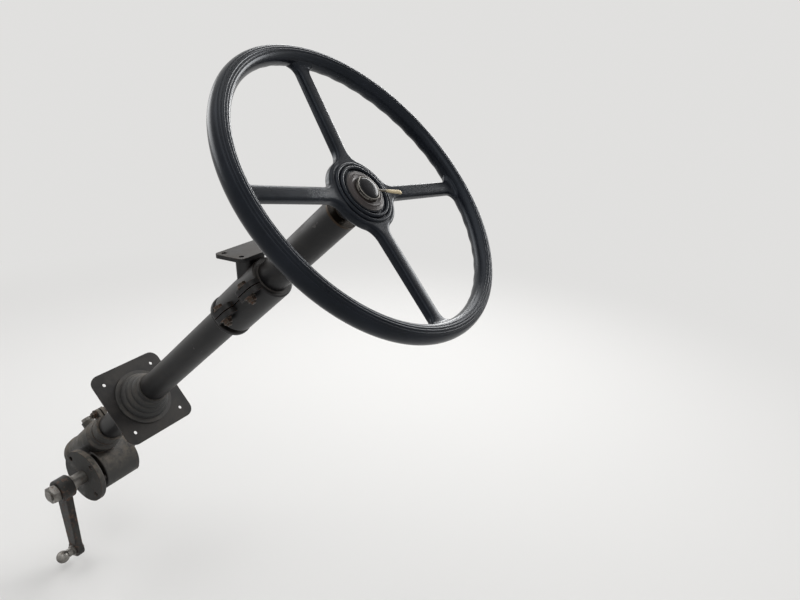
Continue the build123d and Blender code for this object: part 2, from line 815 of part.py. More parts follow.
def make_nodes():
    rim = make_rim()
    nodes = {
        "wheel_rim": on_wheel(rim),
        "wheel_hub": on_wheel(make_hub()),
        "hub_insert": on_wheel(make_hub_insert()),
        "wheel_nut": on_wheel(make_wheel_nut()),
        "hub_cover": on_wheel(make_hub_cover()),
        "steering_shaft": on_column(make_steering_shaft()),
        "control_tube": on_column(make_control_tube()),
        "light_lever": on_wheel(make_light_lever()),
        "horn_bezel": on_wheel(make_bezel()),
        "horn_button": on_wheel(make_button()),
        "column_jacket": on_column(make_jacket()),
        "upper_bearing": on_column(make_upper_bearing()),
        "jacket_clamp": on_column(make_jacket_clamp()),
        "bracket_liner": on_column(make_bracket_liner()),
        "bracket_body": make_bracket_body(),
        "bracket_cap": on_column(bracket_half(-1)),
        "bracket_collar": on_column(make_collar()),
        "toe_plate": on_column(make_toe_plate()),
        "toe_boot": on_column(make_toe_boot()),
        "gear_housing": make_gear_housing(),
        "filler_plug": make_filler_plug(),
        "gear_side_cover": make_side_cover(),
        "adjusting_screw": make_adjusting_screw(),
        "adjusting_locknut": make_adjusting_locknut(),
        "lower_end_plate": on_column(make_end_plate()),
        "light_switch": on_column(make_light_switch()),
        "pitman_shaft": make_pitman_shaft(),
        "pitman_arm": make_pitman_arm(),
        "drag_link_ball": make_drag_link_ball(),
        "pitman_nut": make_pitman_nut(),
    }
    for number, spoke in enumerate(make_spokes(rim), 1):
        nodes[f"wheel_spoke_{number}"] = on_wheel(spoke)
    return nodes


if __name__ == "__main__":
    os.makedirs("parts", exist_ok=True)
    for name, shape in make_nodes().items():
        export_step(shape, f"parts/{name}.step")
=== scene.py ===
"""Steering wheel and column of a vintage sedan: its shapes in detail and its finishes."""
import json
import math

import bmesh
import bpy
from bpy.props import FloatProperty, FloatVectorProperty, IntProperty, PointerProperty
from mathutils import Matrix, Vector


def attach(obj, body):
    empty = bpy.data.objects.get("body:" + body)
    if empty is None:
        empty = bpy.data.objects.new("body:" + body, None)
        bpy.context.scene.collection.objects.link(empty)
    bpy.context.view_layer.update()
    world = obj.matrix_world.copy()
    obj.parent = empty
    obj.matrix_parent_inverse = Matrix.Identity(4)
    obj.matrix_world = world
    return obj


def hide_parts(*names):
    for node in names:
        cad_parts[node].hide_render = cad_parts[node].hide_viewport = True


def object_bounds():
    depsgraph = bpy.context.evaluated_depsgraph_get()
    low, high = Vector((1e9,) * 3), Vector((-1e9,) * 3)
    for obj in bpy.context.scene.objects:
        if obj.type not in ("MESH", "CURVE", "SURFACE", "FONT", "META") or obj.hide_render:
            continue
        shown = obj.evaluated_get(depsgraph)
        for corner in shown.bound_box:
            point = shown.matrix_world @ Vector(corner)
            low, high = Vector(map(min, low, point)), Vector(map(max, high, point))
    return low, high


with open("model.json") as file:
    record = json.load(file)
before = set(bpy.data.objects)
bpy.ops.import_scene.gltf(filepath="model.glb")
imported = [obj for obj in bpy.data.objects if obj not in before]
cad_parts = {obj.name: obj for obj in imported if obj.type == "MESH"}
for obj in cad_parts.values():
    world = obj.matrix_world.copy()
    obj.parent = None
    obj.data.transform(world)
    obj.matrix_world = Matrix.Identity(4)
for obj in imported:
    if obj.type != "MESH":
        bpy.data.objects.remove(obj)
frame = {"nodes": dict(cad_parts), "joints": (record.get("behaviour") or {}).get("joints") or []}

bl_info = {
    "name": "Vintage Steering Wheel and Column",
    "version": (1, 0, 0),
    "blender": (4, 5, 0),
    "location": "View3D > Sidebar > Steering",
    "description": "Dresses a steering wheel, its column and its steering box",
    "category": "Add Mesh",
}

CAD_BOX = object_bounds()
MM = 0.001
TINY = 1e-6
STEERING = next(joint for joint in frame["joints"] if joint["name"] == "steering")
UPHILL = Vector(STEERING["axis"]).normalized()
RIGHT = Vector((1, 0, 0))
OVER = UPHILL.cross(RIGHT)
WHEEL_CENTRE = Vector(STEERING["pos_m"])
PLATE_TOP = -1.6


def turned_place(middle, across, along, up):
    """Place in the car, in metres, of a piece drawn in millimetres with its axis along Z."""
    axes = Matrix((across, along, up)).transposed().to_4x4()
    return Matrix.Translation(middle) @ axes @ Matrix.Scale(MM, 4)


WHEEL_PLACE = turned_place(WHEEL_CENTRE, RIGHT, OVER, UPHILL)
BOX_PLACE = turned_place(Vector(), Vector((0, 1, 0)), Vector((0, 0, 1)), Vector((1, 0, 0)))
CAR_PLACE = Matrix.Scale(MM, 4)


def length(name, description, millimetres):
    """A size in metres, from its value in millimetres."""
    return FloatProperty(name=name, description=description, default=millimetres * MM,
                         unit="LENGTH", subtype="DISTANCE", precision=5)


def number(name, description, value):
    """A whole number."""
    return IntProperty(name=name, description=description, default=value)


def turn(name, description, degrees):
    """An angle in radians, from its value in degrees."""
    return FloatProperty(name=name, description=description, default=math.radians(degrees),
                         unit="ROTATION", subtype="ANGLE")


def colour(name, description, red, green, blue):
    return FloatVectorProperty(name=name, description=description, default=(red, green, blue),
                               subtype="COLOR", size=3, min=0.0, max=1.0)


class RimSizes(bpy.types.PropertyGroup):
    """Hard rubber rim. Its section's angles start at the outside and go over the driver's face."""

    outer_radius: length("Outer radius", "Middle of the wheel to the outside of the rim", 222.25)
    half_width: length("Half width", "Half of the section across the wheel's plane", 12.0)
    half_depth: length("Half depth", "Half of the section along the column", 14.4)
    groove_count: number("Grooves", "Fine grooves between rounded beads", 4)
    groove_first: turn("First groove", "Angle of the outermost groove", 54.0)
    groove_step: turn("Groove step", "Angle from groove to groove", 19.0)
    groove_depth: length("Groove depth", "Depth of each narrow groove between two beads", 0.55)
    bead_crown: length("Bead crown", "Rise of the middle of a bead over its sides", 0.35)
    grip_count: number("Finger grips", "Finger grips round the back", 46)
    grip_depth: length("Grip depth", "Depth of each finger grip", 0.8)
    grip_first: turn("Grip start", "Angle where the finger grips start", 196.0)
    grip_last: turn("Grip end", "Angle where the finger grips end", 292.0)


class SpokeSizes(bpy.types.PropertyGroup):
    """Four flat spokes that flare into the hub and the rim."""

    count: number("Spokes", "Number of spokes", 4)
    turn: turn("Turn", "Angle of the first spoke from the car's right", -11.0)
    width: length("Width", "Width of a spoke along its straight part", 20.5)
    hub_thickness: length("Thickness at the hub", "Thickness of a spoke beside the hub", 13.5)
    rim_thickness: length("Thickness at the rim", "Thickness of a spoke beside the rim", 11.5)
    hub_height: length("Height at the hub", "Face of a spoke beside the hub", -10.0)
    rim_height: length("Height at the rim", "Face of a spoke beside the rim", -1.5)
    edge: length("Edge rounding", "Rounding of a spoke's edges", 3.8)
    crown: length("Crown", "Rise of a spoke's face along its middle", 1.3)
    hub_flare: length("Hub flare", "Radius of the flare into the hub", 22.0)
    rim_flare: length("Rim flare", "Radius of the flare into the rim", 14.0)
    rim_rise: length("Rise into the rim", "Radius of the face's rise into the rim", 5.0)
    stub_depth: length("Root depth", "How far under the rim's skin the spokes' roots lie", 1.9)


class HubSizes(bpy.types.PropertyGroup):
    """Moulded hub and its rings, with heights from the middle plane of the rim."""

    radius: length("Radius", "Outside of the moulded hub", 53.5)
    shoulder: length("Shoulder height", "Face of the hub outside its rings", -10.0)
    side_depth: length("Side depth", "Depth of the hub's outer side", 13.0)
    boss_radius: length("Boss radius", "Boss behind the hub", 27.0)
    boss_depth: length("Boss depth", "Foot of the boss below the rim's middle plane", 44.0)
    outer_ring: length("Outer ring radius", "Crest of the outer ring", 43.4)
    outer_ring_height: length("Outer ring height", "Crest of the outer ring", -7.6)
    inner_ring: length("Inner ring radius", "Crest of the inner ring", 37.1)
    inner_ring_height: length("Inner ring height", "Crest of the inner ring", -5.7)
    ring_half_width: length("Ring half width", "Half of the width of each ring", 2.9)
    groove: length("Groove height", "Floor of the grooves beside the rings", -10.6)
    grain: length("Moulding step", "Size of the steps that blend the hub and its spokes", 1.15)


class MiddleSizes(bpy.types.PropertyGroup):
    """What sits in the middle of the wheel."""

    cover_radius: length("Cover radius", "Outside of the dished cover", 30.5)
    cover_edge: length("Cover edge height", "Edge of the dished cover", -6.9)
    cover_step: length("Cover step radius", "Raised step of the dished cover", 24.0)
    bezel_radius: length("Bezel radius", "Outside of the bright ring", 18.0)
    bezel_width: length("Bezel width", "Width of the bright ring", 1.9)
    skirt_depth: length("Skirt depth", "Depth of the bright ring's skirt below the button's plate", 2.7)
    skirt_flare: length("Skirt flare", "How far the skirt stands out at its foot", 1.0)
    disc_radius: length("Disc radius", "Disc that carries the lever", 17.2)
    button_gap: length("Button gap", "Gap between the button and the ring", 0.2)
    lever_turn: turn("Lever turn", "Angle of the lever from the car's right", -18.5)
    lever_reach: length("Lever reach", "Middle of the wheel to the lever's tip", 64.0)
    lever_root: length("Lever root width", "Width of the lever beside the bezel", 3.4)
    lever_tip: length("Lever tip width", "Width of the lever near its tip", 7.0)


class ColumnSizes(bpy.types.PropertyGroup):
    """Fastenings of the column, with depths below the rim's middle plane."""

    bolt_size: length("Bolt size", "Thread of the bracket's and clamp's bolts", 8.0)
    bracket_depth: length("Bracket depth", "Upper end of the bracket", 230.0)
    bracket_length: length("Bracket length", "Length of the bracket's halves", 115.0)
    bolt_inset: length("Bolt inset", "End of the bracket to its bolts", 22.0)
    bolt_spread: length("Bolt spread", "Middle of the column to the bracket's bolts", 41.5)
    bolt_seat: length("Bolt seat", "Split of the bracket to the seat of its bolts", 8.8)
    clamp_depth: length("Clamp depth", "Middle of the clamp at the foot of the jacket", 870.0)
    clamp_height: length("Clamp bolt height", "Middle of the column to the clamp's bolt", 38.75)
    clamp_seat: length("Clamp seat", "Slot of the clamp to the seat of its bolt", 8.5)


class BoxSizes(bpy.types.PropertyGroup):
    """Fastenings of the steering box."""

    bolt_size: length("Bolt size", "Thread of the small bolts", 6.4)
    cover_count: number("Side cover bolts", "Bolts of the side cover", 4)
    cover_circle: length("Side cover circle", "Radius of the side cover's circle of bolts", 39.0)
    cover_face: length("Side cover face", "Frame's face to the outside of the side cover", 104.0)
    end_count: number("End plate bolts", "Bolts of the end plate", 3)
    end_circle: length("End plate circle", "Radius of the end plate's circle of bolts", 31.0)
    end_depth: length("End plate depth", "Rim's middle plane to the seat of the end plate", 1022.0)
    end_thickness: length("End plate thickness", "Thickness of the end plate", 7.0)


class FinishSettings(bpy.types.PropertyGroup):
    """Colours of the finishes, and where the wheel is worn and dirty and where the lever's painted shade
    reaches.
    """

    # Both rubber colours are near black with a bluish tint, which is a painted reflection of a blue sky.
    rubber: colour("Moulded rubber", "Hard rubber of the wheel", 0.0042, 0.0051, 0.0078)
    rubber_faded: colour("Faded rubber", "Rubber bleached by light and hands", 0.0165, 0.0195, 0.028)
    enamel: colour("Black enamel", "Enamel of the column", 0.005, 0.005, 0.006)
    dust: colour("Dust", "Dust that has settled", 0.2, 0.17, 0.135)
    casting: colour("Casting", "Painted castings", 0.03, 0.029, 0.027)
    grime: colour("Grime", "Oil and road dirt", 0.045, 0.03, 0.018)
    steel: colour("Steel", "Machined steel", 0.24, 0.23, 0.215)
    rust: colour("Rust", "Rust on bare steel", 0.12, 0.05, 0.024)
    bronze: colour("Bronze", "Bearing bronze", 0.034, 0.026, 0.019)
    # Kept dark: a painted reflection of dark surroundings in the plating's colour.
    chrome: colour("Chrome", "Plated trim", 0.17, 0.16, 0.145)
    # Lever colour: part plating, part a painted cream reflection that warms it.
    nickel_and_cream_sheen: colour("Nickel", "Yellowed plating of the lever", 0.42, 0.35, 0.225)
    button: colour("Button", "Horn button", 0.006, 0.006, 0.0075)
    cover: colour("Cover", "Dished cover round the button", 0.02, 0.015, 0.0145)
    floor: colour("Floor", "Studio floor", 0.75, 0.745, 0.735)
    floor_tone: colour("Floor tone", "Second tone of the studio floor", 0.74, 0.73, 0.71)
    scuff: colour("Scuff", "Rubber scuffed to grey", 0.11, 0.115, 0.125)
    scratch: colour("Scratch", "Bare metal in scratched enamel", 0.16, 0.155, 0.15)
    oil: colour("Oil", "Oil on castings", 0.008, 0.007, 0.006)
    forging: colour("Forging", "Black scale on forgings", 0.014, 0.013, 0.012)
    dull_steel: colour("Dull steel", "Machined steel gone grey", 0.075, 0.07, 0.062)
    bolts: colour("Bolts", "Bolts and nuts", 0.055, 0.052, 0.048)
    plate: colour("Plate", "Tarnished plate of the light switch", 0.2, 0.19, 0.17)
    soft: colour("Soft rubber", "Soft rubber of the boot and liner", 0.022, 0.022, 0.022)
    cover_scuff: colour("Cover scuff", "Scuffed enamel of the dished cover", 0.062, 0.047, 0.045)
    cover_dirt: colour("Cover dirt", "Dirt in the cover's corners", 0.012, 0.01, 0.008)
    # Painted shade on the lever beside the bezel.
    lever_root_shade: colour("Lever dirt", "Dirt on the lever beside the bezel", 0.02, 0.018, 0.016)
    scuff_turn: turn("Scuff direction", "Angle of the scuffed spoke from the car's right", 169.0)
    scuff_out: length("Scuff distance", "Wheel's middle to the scuffed patch, along its spoke", 84.0)
    scuff_up: length("Scuff height", "Middle of the scuffed patch above the rim's middle plane", 20.0)
    scuff_reach: length("Scuff reach", "Radius of the scuffed patch", 42.0)
    # Reach of the painted shade on the lever.
    lever_shade_reach: length("Clean lever", "Wheel's middle to the clean part of the lever", 41.0)
    cover_rim: length("Cover rim", "Wheel's middle to the dirt along the cover's rim", 31.5)
    cover_middle: length("Cover middle", "Radius of the dirt round the bezel", 19.5)


class StageSettings(bpy.types.PropertyGroup):
    """Camera, lights and floor."""

    camera_right: length("Camera right", "Camera from the wheel's middle, to the right", -687.4)
    camera_front: length("Camera front", "Camera from the wheel's middle, to the front", -446.2)
    camera_up: length("Camera up", "Camera from the wheel's middle, upwards", 164.3)
    heading: turn("Heading", "Camera's turn to the right of straight ahead", 59.8)
    pitch: turn("Pitch", "Camera's tilt below the horizon", 21.3)
    lens: FloatProperty(name="Lens", description="Focal length for a frame 36 mm wide", default=28.8)
    ambient: FloatProperty(name="Ambient light", description="Even light from all round", default=0.21)
    floor_gap: length("Floor gap", "Floor below the lowest point of the object", 12.0)
    floor_radius: length("Floor radius", "Flat part of the floor", 2600.0)
    cove_radius: length("Cove radius", "Curve from the floor up to the backdrop", 2200.0)


GROUPS = {
    "steering_rim": RimSizes,
    "steering_spokes": SpokeSizes,
    "steering_hub": HubSizes,
    "steering_middle": MiddleSizes,
    "steering_column": ColumnSizes,
    "steering_box": BoxSizes,
    "steering_finish": FinishSettings,
    "steering_stage": StageSettings,
}


# Shader expressions


class Wire:
    """A shader socket that takes part in Python expressions."""

    def __init__(self, finish, socket):
        self.finish = finish
        self.socket = socket

    def maths(self, operation, *values):
        return self.finish.node("Math", {"operation": operation}, dict(enumerate(values)))

    def __add__(self, other):
        return self.maths("ADD", self, other)

    __radd__ = __add__

    def __mul__(self, other):
        return self.maths("MULTIPLY", self, other)

    __rmul__ = __mul__

    def __sub__(self, other):
        return self.maths("SUBTRACT", self, other)

    def __rsub__(self, other):
        return self.maths("SUBTRACT", other, self)

    def clamped(self):
        return self.finish.node("Clamp", {}, {"Value": self})

    def at_least(self, other):
        return self.maths("MAXIMUM", self, other)


def with_alpha(value):
    """A colour with its alpha, or a link as it is."""
    return value if isinstance(value, Wire) else (*value[:3], 1.0)


class Finish:
    """One material, or the world, whose nodes are added by expressions."""

    def __init__(self, name="", tree=None):
        if not tree:
            self.material = bpy.data.materials.new(name + "_finish")
            self.material.use_nodes = True
            tree = self.material.node_tree
        self.tree = tree
        self.tree.nodes.clear()

    def node(self, kind, settings, inputs, output=0):
        """Adds a node: its settings first, then the values or links of its sockets."""
        node = self.tree.nodes.new("ShaderNode" + kind)
        for key, value in settings.items():
            setattr(node, key, value)
        for key, value in inputs.items():
            if isinstance(value, Wire):
                self.tree.links.new(value.socket, node.inputs[key])
            elif value is not None:
                node.inputs[key].default_value = value
        return Wire(self, node.outputs[output])

    def place(self):
        return self.node("TexCoord", {}, {}, "Object")

    def noise(self, scale, detail, roughness, stretch=None):
        """Noise from 0 to 1 in the object's own space, with its scale per metre."""
        where = self.place()
        if stretch:
            where = self.node("VectorMath", {"operation": "MULTIPLY"}, {0: where, 1: stretch})
        return self.node("TexNoise", {}, {
            "Vector": where, "Scale": scale, "Detail": detail, "Roughness": roughness})

    def ramp(self, value, low, high, start=0.0, end=1.0):
        """Smooth step of a value between two limits."""
        return self.node("MapRange", {"interpolation_type": "SMOOTHSTEP"}, {
            "Value": value, "From Min": low, "From Max": high, "To Min": start, "To Max": end})

    def mix(self, factor, first, second):
        return self.node("Mix", {"data_type": "RGBA"},
                         {0: factor, 6: with_alpha(first), 7: with_alpha(second)}, 2)

    def layer(self, share, base, colour):
        """A colour over the one below it, by a share that is held between 0 and 1."""
        return self.mix(share.clamped(), base, colour)

    def facing_up(self):
        """How far a surface faces up, from 0 to 1."""
        normal = self.node("NewGeometry", {}, {}, "Normal")
        return self.node("SeparateXYZ", {}, {"Vector": normal}, "Z").at_least(0.0)

    def hollow(self, reach):
        """Depth of corners and grooves, from 0 to 1, with the reach in metres."""
        settings = {"samples": 8, "only_local": True}
        return 1 - self.node("AmbientOcclusion", settings, {"Distance": reach}, "AO")

    def edge(self, radius):
        """Sharp edges, from 0 to 1, with the radius in metres."""
        barely_bent = 0.004
        well_bent = 0.09
        soft = self.rounded_normal(radius)
        hard = self.node("NewGeometry", {}, {}, "Normal")
        match = self.node("VectorMath", {"operation": "DOT_PRODUCT"}, {0: soft, 1: hard}, "Value")
        return self.ramp(1 - match, barely_bent, well_bent)

    def near(self, point, reach, blur):
        """1 at a point of the object's own space, and 0 beyond the reach."""
        away = self.node("VectorMath", {"operation": "DISTANCE"}, {0: self.place(), 1: point}, "Value")
        return self.ramp(away, reach, reach * (1 - blur))

    def bump(self, height, distance, normal=None):
        """A normal from a height of 0 to 1 that stands for a distance in metres."""
        return self.node("Bump", {}, {"Height": height, "Distance": distance, "Normal": normal})

    def rounded_normal(self, radius):
        return self.node("Bevel", {"samples": 6}, {"Radius": radius})

    def surface(self, base, rough, normal, **others):
        """Ends the material with its shader. Words joined by underscores name its other sockets."""
        inputs = {"Base Color": base, "Roughness": rough.clamped(), "Normal": normal}
        for key, value in others.items():
            inputs[key.replace("_", " ").title().replace("Ior", "IOR")] = value
        self.finished(self.node("BsdfPrincipled", {}, inputs))

    def looked_at(self):
        """1 where the camera, a reflection or glass looks, and 0 for light that falls on things."""
        rays = ("Is Camera Ray", "Is Glossy Ray", "Is Transmission Ray")
        return sum(self.node("LightPath", {}, {}, ray) for ray in rays).clamped()

    def finished(self, shader, kind="Material"):
        """Links the last shader to the output."""
        output = self.tree.nodes.new("ShaderNodeOutput" + kind)
        self.tree.links.new(shader.socket, output.inputs["Surface"])


# Finishes


def moulded_rubber(f, looks):
    """Hard black rubber with a painted bluish sky reflection in its colour, bleached in patches, with a
    scuffed left spoke.
    """
    clouds = f.noise(14, 5, 0.6)
    mottle = f.noise(120, 4, 0.6)
    left = Matrix.Rotation(looks.scuff_turn, 4, "Z")
    spot = WHEEL_PLACE @ left @ (Vector((looks.scuff_out, 0, looks.scuff_up)) / MM)
    scuffed = f.near(spot, looks.scuff_reach, 0.6) * f.ramp(f.noise(380, 5, 0.75), 0.48, 0.62)
    faded = f.ramp(clouds, 0.38, 0.75, 0.0, 0.4) + f.ramp(mottle, 0.45, 0.8, 0.0, 0.2)
    base = f.layer(faded, looks.rubber, looks.rubber_faded)
    base = f.layer(scuffed * 0.55, base, looks.scuff)
    rough = 0.23 + 0.08 * clouds + 0.03 * mottle + 0.08 * scuffed
    height = 0.5 * f.noise(30, 1, 0.4) - 2.6 * scuffed
    # The bluish specular tint is a painted reflection of a blue sky.
    f.surface(base, rough, f.bump(height, 0.00005), specular_ior_level=0.2,
              specular_tint=(0.8, 0.89, 1.0, 1.0))


def column_enamel(f, looks):
    """Old black enamel, dusty on its upper side, scratched, and chipped to rust along its edges."""
    clouds = f.noise(22, 5, 0.6)
    speck = f.noise(600, 4, 0.7)
    runs = f.noise(38, 5, 0.7, (1.0, 0.35, 1.0))
    settled = f.facing_up() * f.ramp(clouds, 0.3, 0.75, 0.05, 0.34)
    dust = settled + 0.06 * f.ramp(speck, 0.5, 0.75) + 0.09 * f.ramp(runs, 0.5, 0.72)
    scratched = f.ramp(f.noise(210, 3, 0.75, (1.0, 0.16, 0.2)), 0.66, 0.7) * f.ramp(clouds, 0.45, 0.6)
    chipped = f.edge(0.0015) * f.ramp(f.noise(260, 5, 0.7), 0.48, 0.58)
    base = f.layer(dust * 0.5, looks.enamel, looks.dust)
    base = f.layer(scratched * 0.35, base, looks.scratch)
    base = f.layer(chipped * 0.45, base, looks.rust)
    rough = 0.34 + 0.14 * clouds + 0.7 * dust + 0.2 * chipped + 0.1 * scratched
    height = f.noise(180, 3, 0.5) * 0.4 - chipped - 0.3 * scratched
    f.surface(base, rough, f.bump(height, 0.00008, f.rounded_normal(0.0008)), specular_ior_level=0.3)


def box_casting(f, looks):
    """Painted sand casting, black with oil in its corners and dusty on top, with worn edges."""
    sand = f.noise(520, 4, 0.7)
    lumps = f.noise(90, 4, 0.6)
    clouds = f.noise(24, 6, 0.65)
    oily = f.ramp(clouds + 0.7 * f.hollow(0.02), 0.48, 0.8)
    dust = f.facing_up() * f.ramp(lumps, 0.3, 0.62) + 0.35 * f.ramp(f.noise(46, 5, 0.7), 0.55, 0.7)
    rubbed = f.edge(0.002) * f.ramp(f.noise(180, 4, 0.6), 0.4, 0.6)
    base = f.mix(oily, looks.casting, looks.oil)
    base = f.layer(dust * (1 - 0.7 * oily) * 0.62, base, looks.dust)
    base = f.layer(f.ramp(f.noise(70, 5, 0.7), 0.56, 0.68) * 0.4, base, looks.grime)
    base = f.layer(rubbed * 0.5, base, looks.rust)
    rough = 0.74 - 0.42 * oily + 0.15 * dust
    height = 0.6 * sand + 0.4 * lumps
    f.surface(base, rough, f.bump(height, 0.0009, f.rounded_normal(0.0015)))


def forged_steel(f, looks):
    """Oily black forging with scale, rust in patches and bare steel along its edges."""
    scale = f.noise(240, 5, 0.65)
    clouds = f.noise(30, 5, 0.6)
    rusty = f.ramp(f.noise(75, 6, 0.7), 0.5, 0.62)
    base = f.mix(f.ramp(clouds, 0.35, 0.65), looks.forging, looks.casting)
    base = f.layer(rusty * 0.5, base, looks.rust)
    base = f.layer(f.edge(0.0015) * 0.3, base, looks.steel)
    rough = 0.38 + 0.25 * scale + 0.2 * rusty
    f.surface(base, rough, f.bump(scale, 0.0005, f.rounded_normal(0.0015)),
              metallic=(0.5 - 0.4 * rusty).clamped())


def machined_steel(f, looks):
    """Machined steel gone dull grey, with an oil film and small spots of rust."""
    clouds = f.noise(55, 5, 0.6)
    scratches = f.noise(900, 3, 0.6, (1.0, 0.05, 0.05))
    rusty = f.ramp(f.noise(260, 5, 0.65), 0.55, 0.66) * f.ramp(f.noise(40, 3, 0.5), 0.42, 0.58)
    base = f.mix(f.ramp(clouds, 0.35, 0.7, 0.0, 0.8), looks.steel, looks.dull_steel)
    base = f.layer(rusty * 0.8, base, looks.rust)
    rough = 0.3 + 0.16 * clouds + 0.35 * rusty + 0.08 * scratches
    f.surface(base, rough, f.bump(scratches, 0.00003, f.rounded_normal(0.0005)),
              metallic=(0.95 - 0.8 * rusty).clamped())


def old_bolts(f, looks):
    """Bolts and nuts gone dark with oil, rusted in patches and bright on their corners."""
    clouds = f.noise(60, 4, 0.6)
    rusty = f.ramp(f.noise(170, 5, 0.65), 0.46, 0.66)
    base = f.mix(clouds, looks.bolts, looks.grime)
    base = f.layer(rusty * 0.65, base, looks.rust)
    base = f.layer(f.edge(0.0006) * 0.6, base, looks.steel)
    rough = 0.4 + 0.2 * clouds + 0.2 * rusty
    f.surface(base, rough, f.bump(f.noise(700, 3, 0.6), 0.00005, f.rounded_normal(0.0004)),
              metallic=(0.7 - 0.5 * rusty).clamped())


def bearing_bronze(f, looks):
    """Oiled bronze, browned with age."""
    clouds = f.noise(70, 5, 0.6)
    base = f.mix(f.ramp(clouds, 0.25, 0.6, 0.0, 0.5), looks.bronze, looks.grime)
    f.surface(base, 0.3 + 0.3 * clouds, f.bump(f.noise(600, 3, 0.6), 0.00004), metallic=0.9)


def bright_chrome(f, looks):
    """Worn chrome with haze and fine pits, its colour darkened by a painted reflection of dark
    surroundings.
    """
    haze = f.noise(60, 5, 0.6)
    pits = f.ramp(f.noise(1400, 4, 0.6), 0.66, 0.74)
    base = f.layer(pits * 0.7, looks.chrome, looks.grime)
    rough = 0.08 + 0.12 * f.ramp(haze, 0.35, 0.75) + 0.4 * pits
    f.surface(base, rough, f.bump(1 - pits, 0.00005), metallic=1.0)


def lever_nickel(f, looks):
    """Plating with a painted cream reflection in its colour, rubbed dull by fingers, and painted shade that
    darkens it towards the bezel.
    """
    haze = f.noise(90, 4, 0.6)
    # Painted shade: the lever is darkened towards the bezel.
    root = f.near(WHEEL_CENTRE, looks.lever_shade_reach, 0.28)
    # The plating colour carries a painted cream reflection.
    base = f.layer(0.3 * haze, looks.nickel_and_cream_sheen, looks.grime)
    base = f.layer(root * 0.9, base, looks.lever_root_shade)
    f.surface(base, 0.34 + 0.14 * haze, f.bump(haze, 0.00003), metallic=0.85)


def button_black(f, looks):
    """Glossy moulded button with fine handling marks."""
    haze = f.noise(90, 5, 0.6)
    marks = f.noise(1300, 3, 0.6, (1.0, 0.15, 0.4))
    base = f.mix(f.ramp(haze, 0.4, 0.8, 0.0, 0.15), looks.button, looks.rubber_faded)
    rough = 0.12 + 0.1 * haze + 0.05 * marks
    f.surface(base, rough, f.bump(haze, 0.0001), specular_ior_level=0.14)


def cover_enamel(f, looks):
    """Brownish enamel, scuffed to a dull sheen, with dirt in its corners."""
    haze = f.noise(75, 6, 0.65)
    scuffs = f.ramp(f.noise(260, 5, 0.7, (1.0, 0.4, 1.0)), 0.48, 0.66)
    inside_rim = f.near(WHEEL_CENTRE, looks.cover_rim, 0.1)
    round_bezel = f.near(WHEEL_CENTRE, looks.cover_middle, 0.08)
    dirt = 1 - inside_rim + round_bezel
    base = f.layer(0.35 * haze + 0.3 * scuffs, looks.cover, looks.cover_scuff)
    base = f.layer(dirt * 0.7, base, looks.cover_dirt)
    rough = 0.3 + 0.22 * haze + 0.15 * scuffs
    f.surface(base, rough, f.bump(haze - 0.4 * scuffs, 0.00008), metallic=0.25)


def soft_rubber(f, looks):
    """Aged soft rubber with fine cracks and dust."""
    cells = f.node("TexVoronoi", {"feature": "DISTANCE_TO_EDGE"}, {"Vector": f.place(), "Scale": 220.0})
    cracks = f.ramp(cells, 0.0, 0.05, 1.0, 0.0) * f.ramp(f.noise(50, 4, 0.6), 0.45, 0.65)
    clouds = f.noise(30, 5, 0.6)
    dust = f.facing_up() * f.ramp(clouds, 0.35, 0.75, 0.1, 0.6)
    base = f.layer(dust * 0.6, looks.soft, looks.dust)
    height = 0.4 * f.noise(800, 3, 0.6) - cracks
    f.surface(base, 0.62 + 0.2 * clouds, f.bump(height, 0.0002))


def switch_steel(f, looks):
    """Tarnished plate on pressed steel."""
    clouds = f.noise(45, 5, 0.65)
    rusty = f.ramp(f.noise(110, 6, 0.7), 0.5, 0.68)
    base = f.mix(clouds, looks.plate, looks.grime)
    base = f.layer(rusty * 0.6, base, looks.rust)
    rough = 0.4 + 0.2 * clouds + 0.25 * rusty
    f.surface(base, rough, f.bump(clouds, 0.0002, f.rounded_normal(0.001)),
              metallic=(0.8 - 0.6 * rusty).clamped())


def studio_floor(f, looks):
    """Pale matt floor that turns into an even backdrop far from the object."""
    clear_reach = 0.6
    backdrop_reach = 2.4
    base = f.layer(f.noise(3, 3, 0.5) * 0.1, looks.floor, looks.floor_tone)
    floor = f.node("BsdfDiffuse", {}, {"Color": base})
    backdrop = f.node("Emission", {}, {"Color": with_alpha(looks.floor), "Strength": 1.0})
    away = f.node("VectorMath", {"operation": "LENGTH"}, {0: f.place()}, "Value")
    share = f.looked_at() * f.ramp(away, clear_reach, backdrop_reach, 0.35, 1.0)
    f.finished(f.node("MixShader", {}, {"Fac": share, 1: floor, 2: backdrop}))


FINISHES = {
    make.__name__: make for make in (
        moulded_rubber, column_enamel, box_casting, forged_steel, machined_steel, old_bolts, bearing_bronze,
        bright_chrome, lever_nickel, button_black, cover_enamel, soft_rubber, switch_steel, studio_floor)
}


def finish(scene, name):
    """The material of that name, made the first time that it is asked for."""
    if name + "_finish" not in bpy.data.materials:
        FINISHES[name](Finish(name), scene.steering_finish)
    return bpy.data.materials[name + "_finish"]


# Shapes


class Millimetres:
    """The values of a property group, with its lengths in millimetres."""

    def __init__(self, group):
        for name, about in group.bl_rna.properties.items():
            value = getattr(group, name)
            setattr(self, name, value / MM if about.subtype == "DISTANCE" else value)


